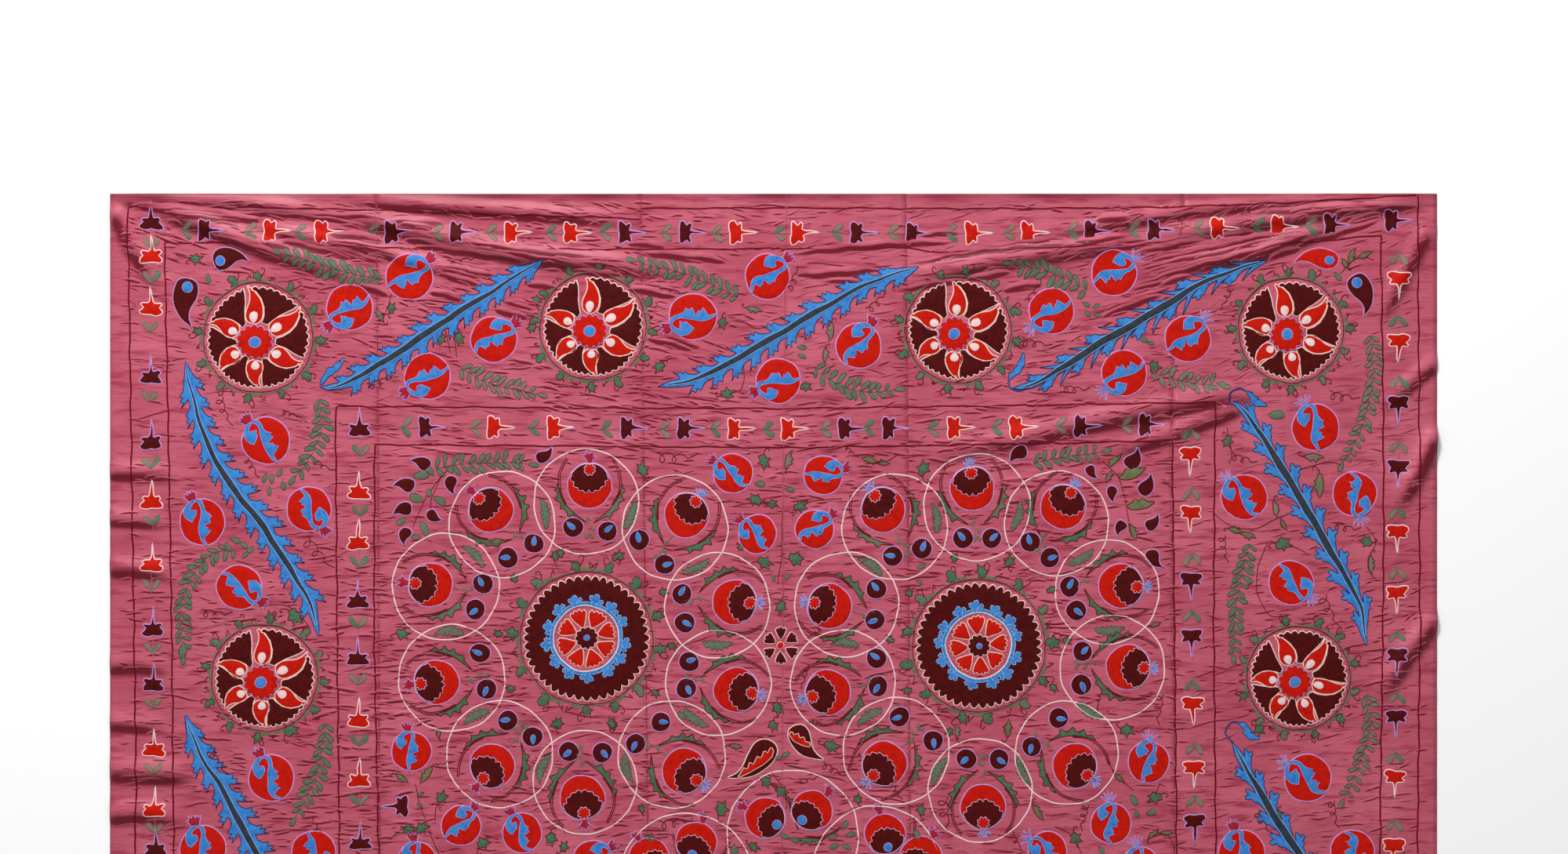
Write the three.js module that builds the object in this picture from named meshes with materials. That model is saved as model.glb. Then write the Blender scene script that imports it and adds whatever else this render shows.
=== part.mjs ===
// A large embroidered silk cloth lying face up: five loom widths sewn edge to edge, with its drag folds.
// Millimetres. +X is to the right of the face, +Y towards its top edge, +Z out of the face.
// The origin is under the middle of the cloth, on the surface that it lies on.
import * as THREE from "three";

const CLOTH_WIDTH = 2200;
const CLOTH_LENGTH = 2686;
const CLOTH_THICKNESS = 1.5;
const SEAM_GAP = 0.3;
const GROUND_COLOR = "#ab5262";
const GROUND_ROUGHNESS = 0.55;

const HALF_WIDTH = CLOTH_WIDTH / 2;
const HALF_LENGTH = CLOTH_LENGTH / 2;

// Where each seam runs, at three distances from the middle of the cloth. Both halves are alike.
const SEAM_STATIONS = [0, 1015, HALF_LENGTH];
const SEAMS = [
  { name: "seam_1", x: [-652, -656, -658] },
  { name: "seam_2", x: [-205, -216, -220] },
  { name: "seam_3", x: [229, 222, 219] },
  { name: "seam_4", x: [667, 661, 680] },
];

// The cloth's widths from left to right, with the columns of facets that each one needs.
const PANELS = [
  { name: "panel_1", columns: 11 },
  { name: "panel_2", columns: 8 },
  { name: "panel_3", columns: 6 },
  { name: "panel_4", columns: 8 },
  { name: "panel_5", columns: 11 },
];

// Bands of facet rows from the top edge down, finest where the cloth is pulled into folds.
const ROW_BANDS = [
  { from: HALF_LENGTH, to: 1150, rows: 14 },
  { from: 1150, to: 850, rows: 12 },
  { from: 850, to: 280, rows: 24 },
  { from: 280, to: -HALF_LENGTH, rows: 11 },
];

// Drag folds. Each crest runs from start by way of middle to end, and dies away over its two ends.
const FOLDS = [
  { name: "left_fan_1", start: [-1110, 1338], middle: [-890, 1332], end: [-690, 1308], reach: 20, height: 7 },
  { name: "left_fan_2", start: [-735, 1318], middle: [-420, 1243], end: [-60, 1208], reach: 24, height: 9 },
  { name: "left_fan_3", start: [-1040, 1330], middle: [-830, 1250], end: [-630, 1190], reach: 24, height: 8 },
  { name: "left_fan_4", start: [-740, 1340], middle: [-400, 1313], end: [-180, 1298], reach: 20, height: 6 },
  { name: "left_fan_5", start: [-1098, 1330], middle: [-1065, 1262], end: [-1015, 1180], reach: 26, height: 7 },
  { name: "left_fan_6", start: [-860, 1292], middle: [-640, 1246], end: [-450, 1192], reach: 18, height: 5 },
  { name: "right_fan_1", start: [1105, 1338], middle: [825, 1302], end: [545, 1258], reach: 22, height: 9 },
  { name: "right_fan_2", start: [600, 1268], middle: [380, 1236], end: [165, 1192], reach: 24, height: 8 },
  { name: "right_fan_3", start: [950, 1302], middle: [800, 1244], end: [590, 1212], reach: 22, height: 8 },
  { name: "right_fan_4", start: [1060, 1342], middle: [695, 1318], end: [330, 1256], reach: 18, height: 6 },
  { name: "right_fan_5", start: [1092, 1300], middle: [1045, 1210], end: [1000, 1125], reach: 24, height: 7 },
  { name: "right_chest_1", start: [815, 1024], middle: [560, 975], end: [165, 890], reach: 26, height: 7 },
  { name: "right_chest_2", start: [795, 1002], middle: [665, 950], end: [530, 908], reach: 22, height: 6 },
  { name: "right_edge_1", start: [1108, 1075], middle: [1050, 1027], end: [1000, 980], reach: 22, height: 6 },
  { name: "right_edge_2", start: [1105, 962], middle: [1070, 888], end: [1025, 812], reach: 28, height: 11 },
  { name: "right_edge_3", start: [1108, 655], middle: [1052, 585], end: [1000, 500], reach: 28, height: 10 },
  { name: "left_edge_1", start: [-1112, 886], middle: [-1050, 884], end: [-975, 880], reach: 22, height: 5 },
  { name: "left_edge_2", start: [-1112, 808], middle: [-1060, 806], end: [-990, 800], reach: 20, height: 4 },
  { name: "left_edge_3", start: [-1112, 728], middle: [-1050, 725], end: [-980, 712], reach: 24, height: 5 },
  { name: "left_edge_4", start: [-1112, 565], middle: [-1055, 568], end: [-985, 560], reach: 24, height: 5 },
  { name: "left_edge_5", start: [-1112, 470], middle: [-1060, 468], end: [-1000, 462], reach: 22, height: 4 },
  { name: "left_edge_6", start: [-1112, 392], middle: [-1040, 388], end: [-940, 384], reach: 28, height: 8 },
  { name: "left_edge_7", start: [-1112, 318], middle: [-1050, 322], end: [-960, 312], reach: 26, height: 6 },
];
const FOLD_RISE = 0.16;
const FOLD_FALL = 0.4;

function smoothStep(amount) {
  const t = THREE.MathUtils.clamp(amount, 0, 1);
  return t * t * (3 - 2 * t);
}

// The nearest place on one straight stretch: its share of the stretch, from 0 to 1, and its distance.
function nearestOnStretch(x, y, from, to) {
  const alongX = to[0] - from[0];
  const alongY = to[1] - from[1];
  const lengthSquared = alongX * alongX + alongY * alongY;
  const share = ((x - from[0]) * alongX + (y - from[1]) * alongY) / lengthSquared;
  const t = THREE.MathUtils.clamp(share, 0, 1);
  const distance = Math.hypot(x - from[0] - t * alongX, y - from[1] - t * alongY);
  return { t, distance };
}

function foldHeight(fold, x, y) {
  const first = nearestOnStretch(x, y, fold.start, fold.middle);
  const second = nearestOnStretch(x, y, fold.middle, fold.end);
  const onFirst = first.distance <= second.distance;
  const distance = Math.min(first.distance, second.distance);
  if (distance >= fold.reach) {
    return 0;
  }
  const along = onFirst ? first.t / 2 : 0.5 + second.t / 2;
  const ends = smoothStep(along / FOLD_RISE) * smoothStep((1 - along) / FOLD_FALL);
  const crest = Math.cos((Math.PI / 2) * (distance / fold.reach));
  return fold.height * ends * crest * crest;
}

// How far the cloth stands off the surface: nothing where it lies flat.
function liftAt(x, y) {
  let lift = 0;
  for (const fold of FOLDS) {
    lift = Math.max(lift, foldHeight(fold, x, y));
  }
  return lift;
}

function seamAt(seam, y) {
  const away = Math.abs(y);
  const k = away < SEAM_STATIONS[1] ? 0 : 1;
  const share = (away - SEAM_STATIONS[k]) / (SEAM_STATIONS[k + 1] - SEAM_STATIONS[k]);
  return THREE.MathUtils.lerp(seam.x[k], seam.x[k + 1], share);
}

function rowPlaces() {
  const places = [HALF_LENGTH];
  for (const band of ROW_BANDS) {
    for (let k = 1; k <= band.rows; k += 1) {
      places.push(THREE.MathUtils.lerp(band.from, band.to, k / band.rows));
    }
  }
  return places;
}

// One width of cloth: a top face and an underside that follow the folds, closed along the four edges.
function clothGeometry(leftAt, rightAt, columns, rows) {
  const positions = [];
  const wide = columns + 1;
  for (const level of [CLOTH_THICKNESS, 0]) {
    for (const y of rows) {
      for (let column = 0; column <= columns; column += 1) {
        const x = THREE.MathUtils.lerp(leftAt(y), rightAt(y), column / columns);
        positions.push(x, y, level + liftAt(x, y));
      }
    }
  }
  const under = wide * rows.length;
  const triangles = [];
  const quad = (a, b, c, d) => triangles.push(a, b, c, a, c, d);
  for (let row = 0; row < rows.length - 1; row += 1) {
    for (let column = 0; column < columns; column += 1) {
      const a = row * wide + column;
      const below = a + wide;
      quad(a, below, below + 1, a + 1);
      quad(under + a, under + a + 1, under + below + 1, under + below);
    }
    const left = row * wide;
    const right = left + columns;
    quad(left, under + left, under + left + wide, left + wide);
    quad(right, right + wide, under + right + wide, under + right);
  }
  const last = (rows.length - 1) * wide;
  for (let column = 0; column < columns; column += 1) {
    const top = column;
    const bottom = last + column;
    quad(top, top + 1, under + top + 1, under + top);
    quad(bottom, under + bottom, under + bottom + 1, bottom + 1);
  }
  const geometry = new THREE.BufferGeometry();
  geometry.setAttribute("position", new THREE.Float32BufferAttribute(positions, 3));
  geometry.setIndex(triangles);
  geometry.computeVertexNormals();
  return geometry;
}

function clothPanel(index, rows) {
  const panel = PANELS[index];
  const leftSeam = SEAMS[index - 1];
  const rightSeam = SEAMS[index];
  const leftAt = (y) => (leftSeam ? seamAt(leftSeam, y) + SEAM_GAP / 2 : -HALF_WIDTH);
  const rightAt = (y) => (rightSeam ? seamAt(rightSeam, y) - SEAM_GAP / 2 : HALF_WIDTH);
  const material = new THREE.MeshStandardMaterial({
    color: GROUND_COLOR,
    roughness: GROUND_ROUGHNESS,
    metalness: 0,
  });
  const mesh = new THREE.Mesh(clothGeometry(leftAt, rightAt, panel.columns, rows), material);
  mesh.name = panel.name;
  return mesh;
}

const suzani = new THREE.Group();
const rows = rowPlaces();
PANELS.forEach((panel, index) => suzani.add(clothPanel(index, rows)));

export default suzani;
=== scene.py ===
"""A large rose silk cloth of five joined loom widths, embroidered all over, lying face up on a pale floor.

The layout is drawn in pixels of the photograph, with y downwards, and to_metres() gives the frame's metres.
Only the cloth's upper half shows there: the lower half repeats it, mirrored about the middle row.
"""
import math

import bpy
import numpy as np
from mathutils.geometry import delaunay_2d_cdt
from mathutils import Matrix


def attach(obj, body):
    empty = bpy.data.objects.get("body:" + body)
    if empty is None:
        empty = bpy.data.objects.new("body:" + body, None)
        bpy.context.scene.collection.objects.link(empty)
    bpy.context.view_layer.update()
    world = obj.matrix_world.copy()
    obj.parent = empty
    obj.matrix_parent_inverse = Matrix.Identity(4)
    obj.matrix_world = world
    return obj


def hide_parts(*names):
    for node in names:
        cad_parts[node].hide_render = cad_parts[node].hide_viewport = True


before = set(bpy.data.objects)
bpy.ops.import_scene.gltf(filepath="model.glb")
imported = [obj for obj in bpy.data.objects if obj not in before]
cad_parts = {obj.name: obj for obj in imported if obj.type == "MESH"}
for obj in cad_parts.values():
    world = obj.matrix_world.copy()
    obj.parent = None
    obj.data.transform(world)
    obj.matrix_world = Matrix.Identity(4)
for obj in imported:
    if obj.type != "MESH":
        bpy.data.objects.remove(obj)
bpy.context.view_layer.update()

SEED = 20
MILLIMETRE = 0.001
PIXEL = 0.0013
IMAGE_WIDTH, IMAGE_HEIGHT = 2000, 1089
CENTRE_X, CENTRE_Y = 986.5, 1280.0

CLOTH_WIDTH = 2.2
CLOTH_LENGTH = 2.686
CLOTH_THICKNESS = 1.5 * MILLIMETRE
HALF_WIDTH = CLOTH_WIDTH / 2
HALF_LENGTH = CLOTH_LENGTH / 2

rng = np.random.default_rng(SEED)

# Where each seam runs, at three distances from the middle of the cloth, in metres.
SEAM_STATIONS = [0.0, 1.015, HALF_LENGTH]
SEAMS = [
    [-0.652, -0.656, -0.658],
    [-0.205, -0.216, -0.220],
    [0.229, 0.222, 0.219],
    [0.667, 0.661, 0.680],
]
# The old fold down the middle, where the cloth was stored doubled.
STORAGE_FOLD = [0.013, 0.017, 0.022]

# Drag folds, in millimetres: start, middle and end of the crest, its reach to each side, and its height.
FOLDS = [
    [(-1110, 1338), (-890, 1332), (-690, 1308), 20, 7],
    [(-735, 1318), (-420, 1243), (-60, 1208), 24, 9],
    [(-1040, 1330), (-830, 1250), (-630, 1190), 24, 8],
    [(-740, 1340), (-400, 1313), (-180, 1298), 20, 6],
    [(-1098, 1330), (-1065, 1262), (-1015, 1180), 26, 7],
    [(-860, 1292), (-640, 1246), (-450, 1192), 18, 5],
    [(1105, 1338), (825, 1302), (545, 1258), 22, 9],
    [(600, 1268), (380, 1236), (165, 1192), 24, 8],
    [(950, 1302), (800, 1244), (590, 1212), 22, 8],
    [(1060, 1342), (695, 1318), (330, 1256), 18, 6],
    [(1092, 1300), (1045, 1210), (1000, 1125), 24, 7],
    [(815, 1024), (560, 975), (165, 890), 26, 7],
    [(795, 1002), (665, 950), (530, 908), 22, 6],
    [(1108, 1075), (1050, 1027), (1000, 980), 22, 6],
    [(1105, 962), (1070, 888), (1025, 812), 28, 11],
    [(1108, 655), (1052, 585), (1000, 500), 28, 10],
    [(-1112, 886), (-1050, 884), (-975, 880), 22, 5],
    [(-1112, 808), (-1060, 806), (-990, 800), 20, 4],
    [(-1112, 728), (-1050, 725), (-980, 712), 24, 5],
    [(-1112, 565), (-1055, 568), (-985, 560), 24, 5],
    [(-1112, 470), (-1060, 468), (-1000, 462), 22, 4],
    [(-1112, 392), (-1040, 388), (-940, 384), 28, 8],
    [(-1112, 318), (-1050, 322), (-960, 312), 26, 6],
]
FOLD_RISE = 0.16
FOLD_FALL = 0.4


# Curves and outlines, as arrays of points in photo pixels.


def to_metres(points):
    """Photo pixels to the frame's x and y."""
    points = np.asarray(points, float)
    return np.stack([(points[:, 0] - CENTRE_X) * PIXEL, (CENTRE_Y - points[:, 1]) * PIXEL], 1)


def spline(points, closed=False, per=5):
    """A smooth curve through the points, with per steps between each two."""
    points = np.asarray(points, float)
    count = len(points)
    spans = count if closed else count - 1
    share = np.linspace(0, 1, per, endpoint=False)[:, None]
    pieces = []
    for k in range(spans):
        if closed:
            a, b, c, d = (points[(k + j) % count] for j in (-1, 0, 1, 2))
        else:
            a, b, c, d = (points[min(max(k + j, 0), count - 1)] for j in (-1, 0, 1, 2))
        pull = 2 * b + (c - a) * share + (2 * a - 5 * b + 4 * c - d) * share**2
        pieces.append(0.5 * (pull + (3 * b - a - 3 * c + d) * share**3))
    if not closed:
        pieces.append(points[-1:])
    return np.vstack(pieces)


def spaced(points, step, closed=False):
    """The same line with points an even step apart."""
    points = np.asarray(points, float)
    if closed:
        points = np.vstack([points, points[:1]])
    lengths = np.hypot(*np.diff(points, axis=0).T)
    along = np.concatenate([[0], np.cumsum(lengths)])
    count = max(int(round(along[-1] / step)), 3 if closed else 1)
    wanted = np.linspace(0, along[-1], count + 1)
    if closed:
        wanted = wanted[:-1]
    return np.stack([np.interp(wanted, along, points[:, 0]), np.interp(wanted, along, points[:, 1])], 1)


def placed(points, centre, degrees=0.0, size=1.0, flip=False):
    """Local points, sized, flipped across their own x axis, turned clockwise and moved to centre."""
    points = np.array(points, float) * size
    if flip:
        points[:, 1] *= -1
    turn = math.radians(degrees)
    c, s = math.cos(turn), math.sin(turn)
    x = points[:, 0] * c - points[:, 1] * s + centre[0]
    y = points[:, 0] * s + points[:, 1] * c + centre[1]
    return np.stack([x, y], 1)


def polar(centre, radius, degrees):
    """The points at these distances and directions from centre. Direction 0 is right and 90 is down."""
    turn = np.radians(degrees)
    return np.stack([centre[0] + radius * np.cos(turn), centre[1] + radius * np.sin(turn)], -1)


FEWEST_CIRCLE_POINTS = 9
CIRCLE_COARSENESS = 14
SCALLOP_ROUNDNESS = 0.7


def circle(centre, radius, step=3.2):
    """A round outline. The points of a large circle are further apart than step."""
    step = max(step, radius / CIRCLE_COARSENESS)
    count = max(int(2 * math.pi * radius / step), FEWEST_CIRCLE_POINTS)
    return polar(centre, radius, np.arange(count) * 360.0 / count)


def scalloped(centre, radius, depth, lobes, per=5, turn=0.0):
    """A round outline with small outward lobes that meet in sharp notches."""
    count = lobes * per
    degrees = np.arange(count) * 360.0 / count
    bulge = np.abs(np.sin(np.radians(degrees * lobes / 2))) ** SCALLOP_ROUNDNESS
    return polar(centre, radius - depth * (1 - bulge), degrees + turn)


def sideways(path, closed=False):
    """The unit vector across a path at each of its points."""
    ahead = np.roll(path, -1, 0) - np.roll(path, 1, 0) if closed else np.gradient(path, axis=0)
    ahead /= np.maximum(np.hypot(ahead[:, 0], ahead[:, 1]), 1e-9)[:, None]
    return np.stack([-ahead[:, 1], ahead[:, 0]], 1)


def ribbon(path, left, right):
    """A closed outline along a path, with its width to each side of it given at every point."""
    path = np.asarray(path, float)
    side = sideways(path)
    one = path - side * np.asarray(left, float)[:, None]
    other = path + side * np.asarray(right, float)[:, None]
    return np.vstack([one, other[::-1]])


def direction(start, end):
    return math.degrees(math.atan2(end[1] - start[1], end[0] - start[0]))


def reach_of(origin, centre, radius, degrees):
    """How far it is from origin, in each direction, to the circle around centre."""
    aim = np.radians(degrees)
    away = np.asarray(origin, float) - centre
    along = away[0] * np.cos(aim) + away[1] * np.sin(aim)
    return -along + np.sqrt(np.maximum(along**2 + radius**2 - away @ away, 0.0))


# Waves of a hand-pencilled line: size in pixels, how fast it runs with x and with y, and where it starts
WAVES_IN_X = [(0.55, 0.061, 0.083, 1.1), (0.35, -0.11, 0.19, 0.4)]
WAVES_IN_Y = [(0.55, 0.073, -0.057, 2.3), (0.35, 0.17, 0.13, 4.0)]


def hand_drawn(points):
    """The slight unevenness of a design that was pencilled on by hand."""
    x, y = np.asarray(points, float).T

    def shift(waves):
        return sum(size * np.sin(by_x * x + by_y * y + start) for size, by_x, by_y, start in waves)

    return np.stack([x + shift(WAVES_IN_X), y + shift(WAVES_IN_Y)], 1)


# What is sewn, as closed areas and lines, each with its thread and its layer.

AREAS = []
LINES = []


def sew_area(thread, outline, layer=0, hole=None):
    outline = np.asarray(outline, float)
    AREAS.append({"thread": thread, "outline": outline, "layer": layer, "hole": hole, "coarse": False})


def sew_line(thread, points, width, closed=False, layer=0):
    points = np.asarray(points, float)
    line = {"thread": thread, "points": points, "width": width, "closed": closed, "layer": layer}
    LINES.append(dict(line, coarse=False))


def patch(thread, edge, outline, width=1.8, layer=0):
    """A filled area with a line of chain stitch around it."""
    sew_area(thread, outline, layer)
    sew_line(edge, outline, width, True, layer)


def mirrored(points):
    return points * (1, -1) + (0, 2 * CENTRE_Y)


def mirror_upper_half():
    """Repeats all that is sewn so far below the middle row."""
    for area in list(AREAS):
        hole = None if area["hole"] is None else mirrored(area["hole"])
        AREAS.append(dict(area, outline=mirrored(area["outline"]), hole=hole, coarse=True))
    for line in list(LINES):
        LINES.append(dict(line, points=mirrored(line["points"]), coarse=True))


# Motifs. Local shapes point along +x, in pixels.

IVY_LEAF = [
    (0, -1), (3.2, -2.8), (4.4, -7.6), (7.4, -4.6), (13, -6.6), (11, -2.2), (17, 0.6), (10.4, 2), (9, 7),
    (5.8, 3.6), (1.8, 5.2), (0, 1),
]
TULIP_SIDE = [
    (16, 1.5), (8, 2.4), (6, 5), (7, 10.6), (4.2, 12.8), (1, 10), (-3, 14), (-7.8, 13.8), (-9, 6.5),
]
CROWN = [
    (-1.5, -4.4), (3.5, -5.6), (12, -10.5), (9.6, -6.6), (15, -6.6), (9.4, -2.8), (16.5, -1), (9.6, 1.6),
    (15.5, 5.2), (8.6, 5.2), (11.5, 9.8), (3.5, 5.6), (-1.5, 4.4),
]
SMALL_CROWN = [
    (-1, -2.4), (3, -2.8), (8.4, -8), (6.4, -3.2), (12.4, -3.6), (7.6, -0.4), (12, 2.8), (6.2, 2.6),
    (7.4, 7.6), (3, 2.8), (-1, 2.4),
]
RING_FLORET = [
    (-3, -2.8), (1.6, -2.6), (2.6, -7), (6.6, -9), (8.6, -6), (7, -2.8), (11, -3.4), (13.4, 0.4),
    (10.6, 3.4), (7.4, 3), (9.6, 8.4), (6.4, 11), (3.8, 8.6), (6, 7), (3, 3.4), (-3, 3.4),
]
BUD = [
    (0, -1), (2.6, -3.4), (7, -4), (11, -1.2), (10.4, 2.2), (6.6, 3.4), (4.6, 2.4), (4.2, 6), (1.6, 4),
    (0, 1),
]
MEDALLION_PETAL = [
    (15.5, -1.8), (19, -4.2), (26, -8.6), (33, -11.6), (37.4, -10), (35.6, -6), (39.4, -3.6), (37, 0),
    (39.4, 3.6), (35.6, 6), (37.4, 10), (33, 11.6), (26, 8.6), (19, 4.2), (15.5, 1.8),
]
ALMOND = [
    (0, 0.15), (0.06, 0.78), (0.22, 1.08), (0.43, 1.1), (0.64, 0.82), (0.84, 0.2), (1.0, -0.7),
    (0.84, -0.45), (0.64, -0.5), (0.44, -0.82), (0.24, -0.98), (0.07, -0.7),
]
DROP = [(0, 0), (0.25, 0.32), (0.6, 0.5), (0.9, 0.36), (1.0, 0), (0.9, -0.36), (0.6, -0.5), (0.25, -0.32)]
SLIM_LEAF = [
    (0, -0.8), (4.6, -2.6), (6, -5.4), (9.4, -3), (11.4, -6), (14.6, -2.6), (21, -1.6), (15, 2), (9, 2.8),
    (3.4, 2.2), (0, 0.8),
]


def uneven(shape, amount):
    """A local shape with each of its points a little off its place."""
    return np.array(shape, float) + rng.uniform(-amount, amount, (len(shape), 2))


def slim_leaf(root, degrees, size=1.0, flip=False, thread="moss"):
    patch(thread, "brown", placed(uneven(SLIM_LEAF, 0.5), root, degrees, size, flip), 1.8)


def ivy_leaf(root, degrees, size=1.0, flip=False, thread="green"):
    patch(thread, "brown", placed(uneven(IVY_LEAF, 0.6), root, degrees, size, flip), 2.0)


def mostly_green(share):
    """Green thread for this share of the leaves, and fern green for the others."""
    return "green" if rng.random() < share else "fern"


def bud(root, degrees, size, flip):
    """A small round leaf with one side lobe."""
    shape = uneven(BUD, 0.5)
    patch(mostly_green(0.7), "brown", placed(shape, root, degrees, size, flip), 1.4)


HOOK_WAY = [(0, 0), (0.5, -0.1), (0.95, -0.45), (0.85, -0.85), (0.5, -0.75)]


def hook(root, degrees, size, flip):
    """A small brown tendril that curls back on itself."""
    sew_line("brown", spline(placed(HOOK_WAY, root, degrees, size, flip), per=3), 1.4)


def drop(thread, edge, root, degrees, length, width, layer=1):
    """A small tear with its point at root."""
    local = np.array(DROP) * (length, width)
    patch(thread, edge, spline(placed(local, root, degrees), True, 2), 1.0, layer)


# The white drop at the base of a petal, as a share of the petal's length and width
PETAL_DROP = (0.3, 0.98)


def almond(root, degrees, length, width):
    """A red petal whose tip leans to one side, with a white drop at its base."""
    local = np.array(ALMOND) * (length, width)
    patch("red", "cream", spline(placed(local, root, degrees), True, 3), 1.9)
    base = polar(root, 1.0, degrees)
    drop("white", "white", base, degrees, PETAL_DROP[0] * length, PETAL_DROP[1] * width)


# A palmette between two petals: where it starts and ends, in degrees on from the petal, and its scallops
FAN_FROM, FAN_TO = -2.5, 51.0
FAN_LOBES = 6.5
FAN_STEPS = 36
FAN_NOTCH = 4.2
# Its two sides, as shares of the way out and degrees on from the petal
FAN_FAR_SIDE = [(0.9, 51.0), (0.76, 49.0), (0.62, 45.5), (0.48, 42.0), (0.38, 38.5)]
FAN_NEAR_SIDE = [(0.38, 23.0), (0.5, 22.0), (0.64, 17.6), (0.79, 10.5), (0.92, 2.5)]


def fan(heart, middle, reach, aim):
    """A maroon palmette between two petals, with a scalloped rim."""

    def side(way, edge):
        far = reach_of(heart, middle, reach, np.array([aim + edge]))[0]
        share, turn = np.array(way).T
        return polar(heart, share * far, aim + turn)

    across = np.linspace(aim + FAN_FROM, aim + FAN_TO, FAN_STEPS)
    lobes = np.abs(np.sin(np.linspace(0, FAN_LOBES * math.pi, FAN_STEPS))) ** SCALLOP_ROUNDNESS
    rim = polar(heart, reach_of(heart, middle, reach, across) - FAN_NOTCH + FAN_NOTCH * lobes, across)
    patch("maroon", "cream", np.vstack([rim, side(FAN_FAR_SIDE, FAN_TO), side(FAN_NEAR_SIDE, FAN_FROM)]), 1.9)


# Around a vine's ring: how far its moss-green stem swells out over each stretch of it
STEM_SWELL = [0.3, 1.4, 2.6, 1.8, 3.2, 2.2, 3.0]
STEM_SPAN = 12
# A thorn's root, tip and heel: distance from the ring, and degrees from the leaf
THORN = [(2.6, -9), (9.0, -14), (3.4, -13)]


def vine_ring(centre, radius, leaves, size, seed_turn):
    """Buds and ivy leaves with tendrils and thorns around a thin olive ring."""
    for k in range(leaves):
        degrees = seed_turn + 360.0 * k / leaves + rng.uniform(-4, 4)
        side = 1 if rng.random() < 0.5 else -1
        lean = side * rng.uniform(12, 40)
        root = polar(centre, radius + 1.5, degrees)
        if k % 3:
            bud(root, degrees + lean, size * rng.uniform(0.95, 1.2), side < 0)
        else:
            ivy_leaf(root, degrees + lean, size * rng.uniform(0.72, 0.9), side < 0)
        stretch = np.linspace(degrees - STEM_SPAN * side, degrees, len(STEM_SWELL))
        rim = polar(centre, radius + 1.0 + size * np.array(STEM_SWELL), stretch)
        foot = polar(centre, radius + 1.0, stretch[::-1])
        sew_area("moss", np.vstack([rim, foot]))
        thorn = [polar(centre, radius + away * size, degrees + side * turn) for away, turn in THORN]
        sew_line("brown", np.array(thorn), 1.3)
        hook(polar(root, 5.0 * size, degrees - 20 * side), degrees - 50 * side, 8.5 * size, side > 0)


# A rosette whose ring has a radius of 70 pixels. Its rim's middle is a little off its heart.
ROSETTE_RING = 70.0
ROSETTE_SHIFT = (4.6, -5.4)
ROSETTE_REACH = 64.5
ROSETTE_PETALS = 6
PETAL_PITCH = 59.0
PETAL_ROOT = 23.0
PETAL_WIDTH = 10.6


def rosette(x, y, ring, turn):
    """Six red almonds and six maroon palmettes swirl about a red floret inside a ring of ivy."""
    size = ring / ROSETTE_RING
    heart = np.array([x, y], float)
    middle = heart + np.array(ROSETTE_SHIFT) * size
    reach = ROSETTE_REACH * size
    sew_line("brown", circle(middle, ring - 0.6), 1.3, True)
    sew_line("olive", circle(middle, ring + 1.2), 1.8, True)
    vine_ring(middle, ring + 1.0, 12, 1.1 * size, turn + 5)
    for k in range(ROSETTE_PETALS):
        aim = turn - 90.0 + PETAL_PITCH * k + rng.uniform(-2.0, 2.0)
        span = reach_of(heart, middle, reach, np.array([aim - 4.0]))[0]
        length = span - (PETAL_ROOT - 1.0) * size
        almond(polar(heart, PETAL_ROOT * size, aim), aim, length, PETAL_WIDTH * size)
        fan(heart, middle, reach, aim)
    patch("red", "lavender", scalloped(heart, 22.5 * size, 3.4 * size, 14, 4), 1.3, 1)
    patch("blue", "lavender", circle(heart, 7.2 * size, 2.5), 1.6, 2)


# Radii of a medallion, in pixels, from its middle outwards
DOT_RADIUS = 4.0
FLORET_RADIUS = 14.5
SILK_RADIUS = 42.0
BAND_RADIUS = 46.6
DISC_RADIUS = 80.5
STEM_RADIUS = 84.6
VINE_RADIUS = 86.4
RING_FLORETS = 13
MEDALLION_PETALS = 8


def medallion(x, y, turn):
    """A scalloped maroon disc with a blue ring of florets about eight red petals on bare silk."""
    centre = (x, y)
    inner = circle(centre, SILK_RADIUS, 3.0)
    rim = scalloped(centre, DISC_RADIUS, 6.0, 44, 5, turn)
    sew_area("maroon", rim, 0, inner)
    sew_line("cream", rim, 2.0, True)
    sew_area("blue", circle(centre, BAND_RADIUS, 3.0), 1, inner)
    sew_line("sky", circle(centre, BAND_RADIUS, 3.0), 1.3, True, 1)
    sew_line("white", inner, 2.0, True, 1)
    for k in range(RING_FLORETS):
        degrees = turn + 360.0 / RING_FLORETS * k + rng.uniform(-3, 3)
        flip = k % 5 == 2
        lean = -16 if flip else 16
        root = polar(centre, BAND_RADIUS - 1.1, degrees)
        outline = placed(RING_FLORET, root, degrees + lean, rng.uniform(0.88, 1.0), flip)
        patch("blue", "sky", outline, 1.5, 1)
    for k in range(MEDALLION_PETALS):
        petal = placed(MEDALLION_PETAL, centre, turn + 22.5 + 45.0 * k, rng.uniform(0.93, 0.98))
        patch("red", "cream", petal, 1.6)
    patch("maroon", "cream", scalloped(centre, FLORET_RADIUS, 2.4, 11, 4), 1.4)
    patch("blue", "lavender", circle(centre, DOT_RADIUS, 2.2), 1.0, 1)
    sew_line("brown", circle(centre, STEM_RADIUS), 1.2, True)
    sew_line("olive", circle(centre, VINE_RADIUS), 1.5, True)
    vine_ring(np.array(centre), 86.0, 13, 1.3, turn + 9)


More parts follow.
